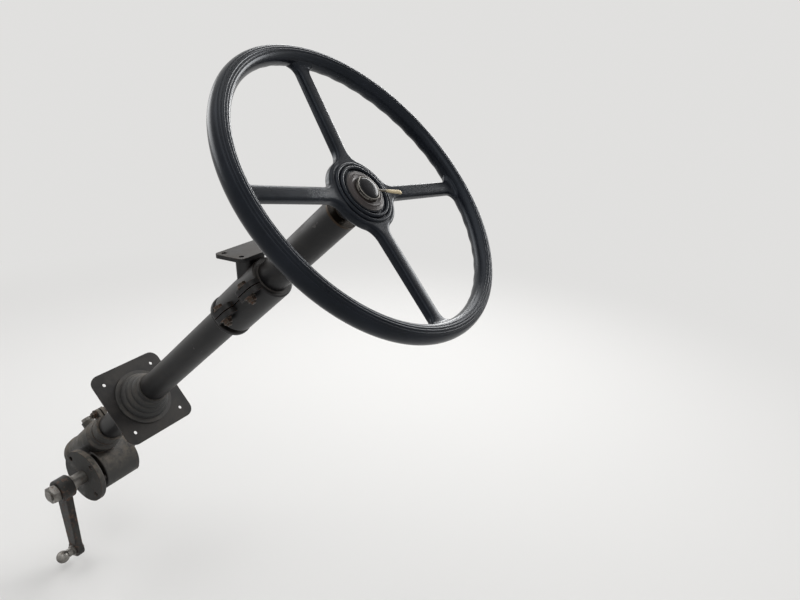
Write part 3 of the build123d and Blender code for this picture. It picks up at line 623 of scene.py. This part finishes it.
def rounded(corners, steps=5):
    """A closed outline from corners of (across, along, rounding)."""
    outline = []
    for i, (across, along, rounding) in enumerate(corners):
        here = Vector((across, along))
        back = Vector(corners[i - 1][:2]) - here
        ahead = Vector(corners[(i + 1) % len(corners)][:2]) - here
        if rounding < TINY:
            outline.append(tuple(here))
            continue
        half = back.angle(ahead) / 2
        middle = here + (back.normalized() + ahead.normalized()).normalized() * rounding / math.sin(half)
        start = here + back.normalized() * rounding / math.tan(half) - middle
        end = here + ahead.normalized() * rounding / math.tan(half) - middle
        first = math.atan2(start.y, start.x)
        sweep = (math.atan2(end.y, end.x) - first + math.pi) % math.tau - math.pi
        for step in range(steps + 1):
            angle = first + sweep * step / steps
            outline.append((middle.x + rounding * math.cos(angle), middle.y + rounding * math.sin(angle)))
    return outline


def skin(bm, rings, joined=False, ends=()):
    """Covers closed rings of points, one after the other, and the ends; a ring of one point is a tip."""
    rows = [[bm.verts.new(point) for point in ring] for ring in rings]
    pairs = list(zip(rows, rows[1:]))
    if joined:
        pairs.append((rows[-1], rows[0]))
    for first, second in pairs:
        count = max(len(first), len(second))
        for i in range(count):
            j = (i + 1) % count
            corners = (first[i % len(first)], first[j % len(first)],
                       second[j % len(second)], second[i % len(second)])
            bm.faces.new(dict.fromkeys(corners))
    for end in ends:
        bm.faces.new(rows[end])


def circle(radius, height, count, place):
    if radius < TINY:
        return [place @ Vector((0, 0, height))]
    return [place @ Vector((radius * math.cos(math.tau * i / count),
                            radius * math.sin(math.tau * i / count), height)) for i in range(count)]


def lathe(bm, outline, count, place=Matrix()):
    """Turns (radius, height) points about Z. It ends on the axis, or else closes on itself."""
    rings = [circle(radius, height, count, place) for radius, height in outline]
    skin(bm, rings, joined=outline[0][0] > TINY)


def ridge(radius, half_width, foot, crest):
    """Half-oval ridge of a lathe outline, from its outer foot to its inner foot."""
    steps = 10
    return [(radius + half_width * math.cos(math.pi * i / steps),
             foot + (crest - foot) * math.sin(math.pi * i / steps)) for i in range(steps + 1)]


def hexagon_head(bm, place, flats, foot, height, bore=0.0):
    """Bolt head or nut with chamfered corners, its foot at a height along Z."""
    count = 48
    face_share = 0.94
    chamfer_slope = 0.5
    sixth = math.tau / 6
    face = flats / 2 * face_share
    top = foot + height

    def side(level, slope):
        ring = []
        for i in range(count):
            angle = math.tau * i / count
            reach = flats / 2 / math.cos(angle % sixth - sixth / 2)
            drop = (reach - face) * slope
            ring.append(place @ Vector((reach * math.cos(angle), reach * math.sin(angle), level - drop)))
        return ring

    rings = [side(foot, 0.0), side(top, chamfer_slope), circle(face, top, count, place),
             circle(bore, top, count, place)]
    if bore:
        rings.append(circle(bore, foot, count, place))
    else:
        rings.insert(0, circle(0, foot, count, place))
    skin(bm, rings, joined=bool(bore))


def bolt(bm, place, size, foot, stud=0.0):
    """Washer and head, or with a stud, washer and nut on a thread end. The size is the thread's."""
    washer_radius = size * 1.1875
    washer_top = foot + size * 0.22
    washer_edge = size * 0.088
    flats = size * 1.6
    head_height = size * 0.62
    nut_height = size * 0.8
    thread = size / 2 * 0.98
    thread_end = size / 2 * 0.78
    end_bevel = size * 0.12
    lathe(bm, rounded([
        (size / 2, foot, 0),
        (washer_radius, foot, 0),
        (washer_radius, washer_top, washer_edge),
        (size / 2, washer_top, 0),
    ], 3), 40, place)
    if not stud:
        hexagon_head(bm, place, flats, washer_top, head_height)
        return
    hexagon_head(bm, place, flats, washer_top, nut_height, bore=thread)
    top = washer_top + nut_height + stud
    end = [(0, foot), (thread, foot), (thread, top - end_bevel), (thread_end, top), (0, top)]
    lathe(bm, end, 24, place)


def round_places(middle, radius, count, first):
    """Places round a circle about an axis, each with the axis as its own Z."""
    places = []
    for i in range(count):
        angle = math.radians(first) + math.tau * i / count
        places.append(middle @ Matrix.Translation((radius * math.cos(angle), radius * math.sin(angle), 0)))
    return places


def add_through_bolt(bm, middle, axis, way, size, seat):
    """Bolt across a split and the nut behind it, both square to an axis. The way is 1 or -1."""
    quarter = way * math.pi / 2
    bolt(bm, middle @ Matrix.Rotation(quarter, 4, axis), size, seat)
    bolt(bm, middle @ Matrix.Rotation(-quarter, 4, axis), size, seat, stud=size / 2)


def mesh_of(name, bm, place=Matrix(), sharp=40.0):
    """A mesh in the car's metres, smooth but for edges sharper than an angle."""
    bm.transform(place)
    bmesh.ops.recalc_face_normals(bm, faces=bm.faces)
    mesh = bpy.data.meshes.new(name)
    bm.to_mesh(mesh)
    bm.free()
    mesh.shade_smooth()
    mesh.set_sharp_from_angle(angle=math.radians(sharp))
    return mesh


def new_piece(scene, mesh, body, slot, stands_for=(), look=None):
    """Adds a piece named as its mesh, with its finish, its body and the nodes that it stands for."""
    mesh.materials.clear()
    mesh.materials.append(finish(scene, look or slot))
    piece = bpy.data.objects.new(mesh.name, mesh)
    scene.collection.objects.link(piece)
    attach(piece, body)
    if stands_for:
        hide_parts(*stands_for)


def turned_piece(scene, name, outline, count, body, slot, stands_for):
    """A piece turned about the wheel's axis."""
    bm = bmesh.new()
    lathe(bm, outline, count)
    new_piece(scene, mesh_of(name, bm, WHEEL_PLACE), body, slot, [stands_for])


def bolts_piece(scene, name, bm, place=Matrix()):
    """A piece of old bolts that stands still."""
    sharp = 32.0
    new_piece(scene, mesh_of(name, bm, place, sharp), "column", "machined_steel", look="old_bolts")


def dress(scene, slot, *nodes):
    """Gives CAD nodes their finish."""
    for node in nodes:
        mesh = frame["nodes"][node].data
        mesh.materials.clear()
        mesh.materials.append(finish(scene, slot))


# Pieces


class RimOperator(bpy.types.Operator):
    """Moulded rim with fine grooves on its face and finger grips behind"""

    bl_idname = "steering.rim"
    bl_label = "Rim"
    section_steps = 128
    beaded_share = 0.6
    groove_share = 0.19
    grip_power = 0.7
    flare_turn = math.radians(8)
    round_steps = 460
    sharp = 60.0

    def execute(self, context):
        scene = context.scene
        rim = Millimetres(scene.steering_rim)
        middle = rim.outer_radius - rim.half_width
        section = []
        for angle in self.section_angles(rim):
            outward = Vector((math.cos(angle) / rim.half_width, math.sin(angle) / rim.half_depth))
            section.append((rim.half_width * math.cos(angle), rim.half_depth * math.sin(angle),
                            outward.normalized(), self.groove(rim, angle), self.grip_share(rim, angle)))
        rings = []
        for i in range(self.round_steps):
            way = math.tau * i / self.round_steps
            grip = (0.5 + 0.5 * math.cos(way * rim.grip_count)) * rim.grip_depth
            grip *= self.clear_of_spokes(scene.steering_spokes, way)
            ring = []
            for across, up, outward, groove, share in section:
                sunk = groove + grip * share
                radius = middle + across - outward.x * sunk
                ring.append((radius * math.cos(way), radius * math.sin(way), up - outward.y * sunk))
            rings.append(ring)
        bm = bmesh.new()
        skin(bm, rings, joined=True)
        mesh = mesh_of("rim", bm, WHEEL_PLACE, self.sharp)
        new_piece(scene, mesh, "wheel", "moulded_rubber", ["wheel_rim"])
        return {"FINISHED"}

    def clear_of_spokes(self, spokes, way):
        """0 at a spoke, and 1 once past its flare."""
        step = math.tau / spokes.count
        away = abs((way - spokes.turn + step / 2) % step - step / 2)
        share = min(max(away / self.flare_turn - 1, 0.0) * 2, 1.0)
        return share * share * (3 - 2 * share)

    def section_angles(self, rim):
        """Angles round the section, close together where the grooves are."""
        start = rim.groove_first - rim.groove_step
        end = rim.groove_first + rim.groove_count * rim.groove_step
        fine = int(self.section_steps * self.beaded_share)
        coarse = self.section_steps - fine
        angles = [start + (end - start) * i / fine for i in range(fine)]
        return angles + [end + (start + math.tau - end) * i / coarse for i in range(coarse)]

    def groove(self, rim, angle):
        """Depth below the crests of the beads: their crown, and a narrow groove between them."""
        sunk = 0.0
        for i in range(rim.groove_count):
            away = (angle - rim.groove_first - i * rim.groove_step) / rim.groove_step
            sunk += max(1 - 2 * abs(away), 0.0) ** 2 * rim.bead_crown
            sunk += math.exp(-(away / self.groove_share) ** 2) * rim.groove_depth
        return sunk

    def grip_share(self, rim, angle):
        """How far an angle of the section is inside the finger grips, from 0 to 1."""
        inside = (angle - rim.grip_first) / (rim.grip_last - rim.grip_first)
        if not 0 < inside < 1:
            return 0.0
        return math.sin(math.pi * inside) ** self.grip_power


class SpiderOperator(bpy.types.Operator):
    """Moulded hub and spokes, blended into one another"""

    bl_idname = "steering.spider"
    bl_label = "Hub and Spokes"
    blend_passes = 10
    stations = 150
    start_share = 0.62
    root_half_turn = 12
    root_points = 40
    bore = 22.0
    recess_depth = 16.0
    recess_gap = 0.2
    back_bevel = 9.0
    boss_shoulder = 11.0

    def execute(self, context):
        scene = context.scene
        self.rim = Millimetres(scene.steering_rim)
        self.spoke = Millimetres(scene.steering_spokes)
        self.hub = Millimetres(scene.steering_hub)
        bm = bmesh.new()
        self.add_hub(bm)
        for i in range(self.spoke.count):
            place = Matrix.Rotation(self.spoke.turn + math.tau * i / self.spoke.count, 4, "Z")
            self.add_spoke(bm, place)
            self.add_root(bm, place)
        mesh = self.blended(scene, mesh_of("hub_and_spokes", bm))
        mesh.transform(WHEEL_PLACE)
        spokes = [f"wheel_spoke_{i + 1}" for i in range(self.spoke.count)]
        new_piece(scene, mesh, "wheel", "moulded_rubber", ["wheel_hub", *spokes])
        return {"FINISHED"}

    def add_hub(self, bm):
        """Hub with a recess for its ringed face."""
        hub = self.hub
        side_foot = hub.shoulder - hub.side_depth
        foot = -hub.boss_depth
        recess = hub.outer_ring + hub.ring_half_width + self.recess_gap
        recess_floor = hub.shoulder - self.recess_depth
        lathe(bm, rounded([
            (self.bore, recess_floor, 0),
            (recess, recess_floor, 0),
            (recess, hub.shoulder, 1.2),
            (hub.radius, hub.shoulder, 3.5),
            (hub.radius, side_foot, 6),
            (hub.boss_radius + self.back_bevel, side_foot - self.back_bevel, 8),
            (hub.boss_radius, foot + self.boss_shoulder, 6),
            (hub.boss_radius, foot, 2),
            (self.bore, foot, 0),
        ], 6), 180)

    def add_root(self, bm, place):
        """Arc of the rim's core that a spoke grows out of, with a section at each degree."""
        half_width = self.rim.half_width - self.spoke.stub_depth
        half_depth = self.rim.half_depth - self.spoke.stub_depth
        middle = self.rim.outer_radius - self.rim.half_width
        rings = []
        for degree in range(-self.root_half_turn, self.root_half_turn + 1):
            turned = place @ Matrix.Rotation(math.radians(degree), 4, "Z")
            ring = []
            for k in range(self.root_points):
                angle = math.tau * k / self.root_points
                ring.append(turned @ Vector((middle + half_width * math.cos(angle), 0,
                                             half_depth * math.sin(angle))))
            rings.append(ring)
        skin(bm, rings, ends=(0, -1))

    def add_spoke(self, bm, place):
        spoke = self.spoke
        start = self.hub.radius * self.start_share
        end = self.rim.outer_radius - self.rim.half_width
        rings = []
        for i in range(self.stations + 1):
            reach = start + (end - start) * i / self.stations
            top, low = self.heights(reach)
            crown = spoke.crown * min(max((reach / self.hub.radius - 1) * 2, 0.0), 1.0)
            outline = self.bar_section(spoke.width / 2, top, low, spoke.edge, crown)
            rings.append([place @ Vector((reach, self.flared(reach, across, up), up))
                          for across, up in outline])
        skin(bm, rings, ends=(0, -1))

    def bar_section(self, half, top, low, edge, crown):
        """Outline of a bar with rounded corners and a crowned face."""
        outline = rounded([(half, low, edge), (half, top, edge), (-half, top, edge), (-half, low, edge)])
        sides = len(outline) // 2
        flat = half - edge
        face = [(flat * (1 - i / 4), top) for i in range(1, 8)]
        middle = (top + low) / 2
        return [(across, up + (crown * (1 - (across / half) ** 2) if up > middle else 0.0))
                for across, up in outline[:sides] + face + outline[sides:]]

    def rim_inside(self, up):
        """Wheel's middle to the rim's inner side, at a height."""
        share = min(abs(up) / self.rim.half_depth, 1.0)
        return self.rim.outer_radius - self.rim.half_width * (1 + math.sqrt(1 - share**2))

    def flared(self, reach, across, up):
        """Place across a spoke, moved out by its flares into the hub and the rim."""
        hub_radius = self.hub.radius
        half = self.spoke.width / 2
        more = 0.0
        flare = self.spoke.hub_flare
        root = math.sqrt((hub_radius + flare) ** 2 - (half + flare) ** 2)
        if reach < root:
            touch = root * hub_radius / (hub_radius + flare)
            more = flare - math.sqrt(flare**2 - (root - max(reach, touch)) ** 2)
        inner = self.rim_inside(up)
        flare = self.spoke.rim_flare
        tip = math.sqrt((inner - flare) ** 2 - (half + flare) ** 2)
        if reach > tip:
            touch = tip * inner / (inner - flare)
            more = flare - math.sqrt(flare**2 - (min(reach, touch) - tip) ** 2)
        return across * (1 + more / half)

    def heights(self, reach):
        """Top and foot of a spoke at a distance from the wheel's middle."""
        spoke = self.spoke
        inner = self.rim_inside(0.0)
        share = (reach - self.hub.radius) / (inner - self.hub.radius)
        top = spoke.hub_height + (spoke.rim_height - spoke.hub_height) * max(share, 0.0)
        thick = spoke.hub_thickness + (spoke.rim_thickness - spoke.hub_thickness) * share
        rise = spoke.rim_rise
        past = min(max(reach - (inner - rise), 0.0), rise)
        return top + rise - math.sqrt(rise**2 - past**2), top - thick

    def blended(self, scene, mesh):
        """One skin over overlapping solids, in millimetres."""
        rough = bpy.data.objects.new("rough_spider", mesh)
        scene.collection.objects.link(rough)
        remesh = rough.modifiers.new("one_skin", "REMESH")
        remesh.mode = "VOXEL"
        remesh.voxel_size = self.hub.grain
        remesh.use_smooth_shade = True
        smooth = rough.modifiers.new("blend", "SMOOTH")
        smooth.factor = 0.5
        smooth.iterations = self.blend_passes
        graph = bpy.context.evaluated_depsgraph_get()
        smoothed = bpy.data.meshes.new_from_object(rough.evaluated_get(graph))
        bpy.data.objects.remove(rough)
        bpy.data.meshes.remove(mesh)
        smoothed.name = "hub_and_spokes"
        return smoothed


class HubFaceOperator(bpy.types.Operator):
    """Two raised rings of the hub's face, round the seat of the cover"""

    bl_idname = "steering.hub_face"
    bl_label = "Ringed Hub Face"
    skirt = 1.4
    lip_gap = 0.4
    lip_width = 1.2
    lip_height = -7.4
    seat_gap = 0.25
    seat_height = -9.4
    bore = 24.5
    back = -25.0

    def execute(self, context):
        scene = context.scene
        hub = Millimetres(scene.steering_hub)
        half = hub.ring_half_width
        outside = hub.outer_ring + half + self.skirt
        seat = Millimetres(scene.steering_middle).cover_radius + self.seat_gap
        outline = [
            (outside, hub.groove),
            *ridge(hub.outer_ring, half, hub.groove, hub.outer_ring_height),
            *ridge(hub.inner_ring, half, hub.groove, hub.inner_ring_height),
            *rounded([
                (hub.inner_ring - half - self.lip_gap, hub.groove, 0),
                (seat + self.lip_width, hub.groove, 0.3),
                (seat + self.lip_width, self.lip_height, 0.5),
                (seat, self.lip_height, 0.3),
                (seat, self.seat_height, 0),
                (self.bore, self.seat_height, 0),
                (self.bore, self.back, 0),
                (outside, self.back, 0),
            ], 3),
        ]
        turned_piece(scene, "hub_face", outline, 200, "wheel", "moulded_rubber", "wheel_hub")
        return {"FINISHED"}


class CoverOperator(bpy.types.Operator):
    """Dished cover round the button, with a raised step"""

    bl_idname = "steering.cover"
    bl_label = "Dished Cover"
    hole = 10.0
    face = -4.9
    under = -6.4
    crest = -3.9
    step_foot = -5.1
    step_under = -6.7

    def execute(self, context):
        sizes = Millimetres(context.scene.steering_middle)
        radius = sizes.cover_radius
        edge = sizes.cover_edge
        step = sizes.cover_step
        outline = rounded([
            (self.hole, self.under, 0),
            (self.hole, self.face, 0.5),
            (step - 4.0, self.face, 3.0),
            (step - 1.0, self.crest, 0.9),
            (step + 0.9, self.crest - 0.2, 0.7),
            (step + 1.6, self.step_foot, 0.8),
            (radius - 1.6, edge + 0.35, 2.0),
            (radius, edge, 0.6),
            (radius, edge - 1.5, 0.3),
            (step + 1.6, self.step_under, 0),
        ])
        turned_piece(context.scene, "dished_cover", outline, 160, "wheel", "cover_enamel", "hub_cover")
        return {"FINISHED"}


class ButtonOperator(bpy.types.Operator):
    """Horn button and the bright ring round it"""

    bl_idname = "steering.button"
    bl_label = "Horn Button"
    ring_height = 1.9
    neck_drop = 1.4
    seat_gap = 0.1
    side_height = 0.7
    dome_foot = 0.8
    dome_rise = 3.5
    dome_steps = 18
    side_power = 0.8
    crown_power = 0.9

    def execute(self, context):
        scene = context.scene
        sizes = Millimetres(scene.steering_middle)
        outer = sizes.bezel_radius
        inner = outer - sizes.bezel_width
        seat = sizes.disc_radius + self.seat_gap
        foot = PLATE_TOP - sizes.skirt_depth
        top = PLATE_TOP + self.ring_height
        outline = rounded([
            (inner, PLATE_TOP, 0),
            (seat, PLATE_TOP, 0),
            (seat, foot, 0.2),
            (outer + sizes.skirt_flare, foot, 0.2),
            (outer, top - self.neck_drop, 0.6),
            (outer, top, 0.7),
            (inner, top, 0.75),
        ], 6)
        turned_piece(scene, "bezel", outline, 160, "column", "bright_chrome", "horn_bezel")
        outline = self.dome(inner - sizes.button_gap)
        turned_piece(scene, "button", outline, 160, "column", "button_black", "horn_button")
        return {"FINISHED"}

    def dome(self, radius):
        """Outline of the button, from its foot's middle over its edge to the crown."""
        foot = PLATE_TOP + self.dome_foot
        outline = [(0, PLATE_TOP), (radius, PLATE_TOP), (radius, PLATE_TOP + self.side_height)]
        for i in range(self.dome_steps):
            angle = math.pi / 2 * i / self.dome_steps
            across = radius * math.cos(angle) ** self.side_power
            outline.append((across, foot + self.dome_rise * math.sin(angle) ** self.crown_power))
        return [*outline, (0, foot + self.dome_rise)]


class LeverOperator(bpy.types.Operator):
    """Light lever, slim at the bezel and wide at its rounded tip"""

    bl_idname = "steering.lever"
    bl_label = "Light Lever"
    disc_thickness = 1.6
    start = 15.0
    stations = 46
    bunching = 1.5
    points = 20
    half_thickness = 0.8
    tip_thickening = 0.7
    tilt = 0.047
    smallest = 0.02

    def execute(self, context):
        scene = context.scene
        sizes = Millimetres(scene.steering_middle)
        disc_foot = PLATE_TOP - self.disc_thickness
        bm = bmesh.new()
        lathe(bm, rounded([
            (0, disc_foot, 0),
            (sizes.disc_radius, disc_foot, 0.4),
            (sizes.disc_radius, PLATE_TOP, 0.3),
            (0, PLATE_TOP, 0),
        ], 3), 96)
        self.add_arm(bm, sizes)
        mesh = mesh_of("light_lever_arm", bm, WHEEL_PLACE)
        new_piece(scene, mesh, "column", "bright_chrome", ["light_lever"], "lever_nickel")
        return {"FINISHED"}

    def add_arm(self, bm, sizes):
        tip = sizes.lever_tip / 2
        root = sizes.lever_root / 2
        span = sizes.lever_reach - self.start
        place = Matrix.Rotation(sizes.lever_turn, 4, "Z")
        rings = []
        for i in range(self.stations + 1):
            along = 1 - (1 - i / self.stations) ** self.bunching
            out = self.start + span * along
            cap = max(0.0, (out - (sizes.lever_reach - tip)) / tip)
            closing = math.sqrt(max(1 - cap**2, 0.0))
            half = (root + (tip - root) * along) * closing
            thick = (self.half_thickness + self.tip_thickening * along) * closing
            height = PLATE_TOP - self.half_thickness + max(out - sizes.bezel_radius, 0.0) * self.tilt
            if half < self.smallest:
                rings.append([place @ Vector((out, 0, height))])
                break
            ring = []
            for k in range(self.points):
                angle = math.tau * k / self.points
                ring.append(place @ Vector((out, half * math.cos(angle), height + thick * math.sin(angle))))
            rings.append(ring)
        skin(bm, rings, ends=(0,))


class ColumnOperator(bpy.types.Operator):
    """Finishes of the column, from the wheel down to the steering box"""

    bl_idname = "steering.column"
    bl_label = "Column"

    def execute(self, context):
        scene = context.scene
        dress(scene, "column_enamel", "column_jacket", "bracket_body", "bracket_cap", "bracket_collar",
              "toe_plate")
        dress(scene, "bearing_bronze", "upper_bearing")
        dress(scene, "soft_rubber", "bracket_liner", "toe_boot")
        dress(scene, "machined_steel", "steering_shaft", "control_tube", "hub_insert", "wheel_nut")
        dress(scene, "box_casting", "jacket_clamp")
        return {"FINISHED"}


class BracketBoltsOperator(bpy.types.Operator):
    """Bolts that pull the two halves of the bracket together"""

    bl_idname = "steering.bracket_bolts"
    bl_label = "Bracket Bolts"

    def execute(self, context):
        sizes = Millimetres(context.scene.steering_column)
        first = sizes.bracket_depth + sizes.bolt_inset
        last = sizes.bracket_depth + sizes.bracket_length - sizes.bolt_inset
        bm = bmesh.new()
        for across in (-sizes.bolt_spread, sizes.bolt_spread):
            for depth in (first, last):
                foot = Matrix.Translation((across, 0, -depth))
                add_through_bolt(bm, foot, "X", -1, sizes.bolt_size, sizes.bolt_seat)
        bolts_piece(context.scene, "bracket_bolts", bm, WHEEL_PLACE)
        return {"FINISHED"}


class ClampBoltOperator(bpy.types.Operator):
    """Bolt and nut of the clamp at the foot of the jacket"""

    bl_idname = "steering.clamp_bolt"
    bl_label = "Clamp Bolt"

    def execute(self, context):
        sizes = Millimetres(context.scene.steering_column)
        middle = Matrix.Translation((0, sizes.clamp_height, -sizes.clamp_depth))
        bm = bmesh.new()
        add_through_bolt(bm, middle, "Y", 1, sizes.bolt_size, sizes.clamp_seat)
        bolts_piece(context.scene, "clamp_bolt", bm, WHEEL_PLACE)
        return {"FINISHED"}


class BoxOperator(bpy.types.Operator):
    """Finishes and bolts of the steering box"""

    bl_idname = "steering.box"
    bl_label = "Steering Box"
    cover_first = 45.0
    end_first = -90.0

    def execute(self, context):
        scene = context.scene
        dress(scene, "box_casting", "gear_housing", "gear_side_cover", "lower_end_plate")
        dress(scene, "machined_steel", "filler_plug", "adjusting_screw", "adjusting_locknut")
        dress(scene, "switch_steel", "light_switch")
        sizes = Millimetres(scene.steering_box)
        bm = bmesh.new()
        for place in round_places(BOX_PLACE, sizes.cover_circle, sizes.cover_count, self.cover_first):
            bolt(bm, place, sizes.bolt_size, sizes.cover_face)
        end = WHEEL_PLACE @ Matrix.Translation((0, 0, -sizes.end_depth)) @ Matrix.Rotation(math.pi, 4, "X")
        for place in round_places(end, sizes.end_circle, sizes.end_count, self.end_first):
            bolt(bm, place, sizes.bolt_size, sizes.end_thickness)
        bolts_piece(scene, "box_bolts", bm)
        return {"FINISHED"}


class PitmanOperator(bpy.types.Operator):
    """Finishes of the pitman shaft, its arm and ball"""

    bl_idname = "steering.pitman"
    bl_label = "Pitman Arm"

    def execute(self, context):
        dress(context.scene, "machined_steel", "pitman_shaft", "drag_link_ball", "pitman_nut")
        dress(context.scene, "forged_steel", "pitman_arm")
        return {"FINISHED"}


class StageOperator(bpy.types.Operator):
    """Pale floor and backdrop, soft lights and the camera"""

    bl_idname = "steering.stage"
    bl_label = "Stage"
    cove_steps = 24
    backdrop_rise = 600.0
    film_width = 36.0
    lamps = (
        # Name, place from the wheel's middle, width and height in metres, and watts
        ("right", (2.4, 0.05, 0.42), (2.2, 0.9), 50),
        ("high_right", (1.97, 0.92, 1.155), (1.4, 1.0), 24),
        ("front", (-0.2, 2.5, 0.65), (2.4, 0.9), 22),
        ("behind", (-1.5, -1.5, 1.9), (1.6, 1.6), 11),
        ("overhead", (-0.3, 0.3, 2.6), (2.6, 2.6), 26),
    )

    def execute(self, context):
        scene = context.scene
        scene.view_settings.view_transform = "Standard"
        self.add_floor(scene)
        self.add_world(scene)
        for name, place, size, power in self.lamps:
            self.add_lamp(scene, name, Vector(place), size, power)
        self.add_camera(scene)
        return {"FINISHED"}

    def add_floor(self, scene):
        sizes = Millimetres(scene.steering_stage)
        low = CAD_BOX[0].z / MM - sizes.floor_gap
        flat = sizes.floor_radius
        cove = sizes.cove_radius
        outline = [(0, low), (flat / 2, low)]
        for i in range(self.cove_steps + 1):
            angle = math.pi / 2 * i / self.cove_steps
            outline.append((flat + cove * math.sin(angle), low + cove * (1 - math.cos(angle))))
        outline.append((flat + cove, low + cove + self.backdrop_rise))
        bm = bmesh.new()
        middle = Matrix.Translation((WHEEL_CENTRE.x / MM, WHEEL_CENTRE.y / MM / 2, 0))
        skin(bm, [circle(radius, height, 96, middle) for radius, height in outline])
        mesh = mesh_of("floor", bm, CAR_PLACE, 180)
        mesh.materials.append(finish(scene, "studio_floor"))
        floor = bpy.data.objects.new("floor", mesh)
        scene.collection.objects.link(floor)

    def add_world(self, scene):
        """Even light, behind which the camera and reflections see the colour of the backdrop."""
        world = bpy.data.worlds.new("studio")
        scene.world = world
        world.use_nodes = True
        sky = Finish(tree=world.node_tree)
        strength = scene.steering_stage.ambient
        light = sky.node("Background", {}, {"Color": (1.0, 1.0, 1.0, 1.0), "Strength": strength})
        backdrop = sky.node("Background", {}, {"Color": with_alpha(scene.steering_finish.floor)})
        sky.finished(sky.node("MixShader", {}, {"Fac": sky.looked_at(), 1: light, 2: backdrop}), "World")

    def add_lamp(self, scene, name, place, size, power):
        """Softbox turned towards the wheel's middle."""
        light = bpy.data.lights.new(name, "AREA")
        light.shape = "RECTANGLE"
        light.size, light.size_y = size
        light.energy = power
        lamp = bpy.data.objects.new(name, light)
        lamp.location = WHEEL_CENTRE + place
        lamp.rotation_euler = (-place).to_track_quat("-Z", "Y").to_euler()
        lamp.visible_camera = False
        scene.collection.objects.link(lamp)

    def add_camera(self, scene):
        sizes = scene.steering_stage
        data = bpy.data.cameras.new("camera")
        data.sensor_width = self.film_width
        data.lens = sizes.lens
        data.clip_end = 50.0
        camera = bpy.data.objects.new("camera", data)
        camera.location = WHEEL_CENTRE + Vector((sizes.camera_right, sizes.camera_front, sizes.camera_up))
        camera.rotation_euler = (math.pi / 2 - sizes.pitch, 0, -sizes.heading)
        scene.collection.objects.link(camera)
        scene.camera = camera


OPERATORS = (
    RimOperator, SpiderOperator, HubFaceOperator, CoverOperator, ButtonOperator, LeverOperator,
    ColumnOperator, BracketBoltsOperator, ClampBoltOperator, BoxOperator, PitmanOperator, StageOperator)


class SteeringPanel(bpy.types.Panel):
    """Lists the pieces of the wheel and column"""

    bl_idname = "VIEW3D_PT_steering"
    bl_label = "Steering Wheel and Column"
    bl_space_type = "VIEW_3D"
    bl_region_type = "UI"
    bl_category = "Steering"

    def draw(self, context):
        for operator in OPERATORS:
            self.layout.operator(operator.bl_idname)


CLASSES = (*GROUPS.values(), *OPERATORS, SteeringPanel)


def register():
    for item in CLASSES:
        bpy.utils.register_class(item)
    for name, group in GROUPS.items():
        setattr(bpy.types.Scene, name, PointerProperty(type=group))


def unregister():
    for name in GROUPS:
        delattr(bpy.types.Scene, name)
    for item in reversed(CLASSES):
        bpy.utils.unregister_class(item)


def main():
    register()
    for operator in OPERATORS:
        group, call = operator.bl_idname.split(".")
        getattr(getattr(bpy.ops, group), call)()


if __name__ == "__main__":
    main()
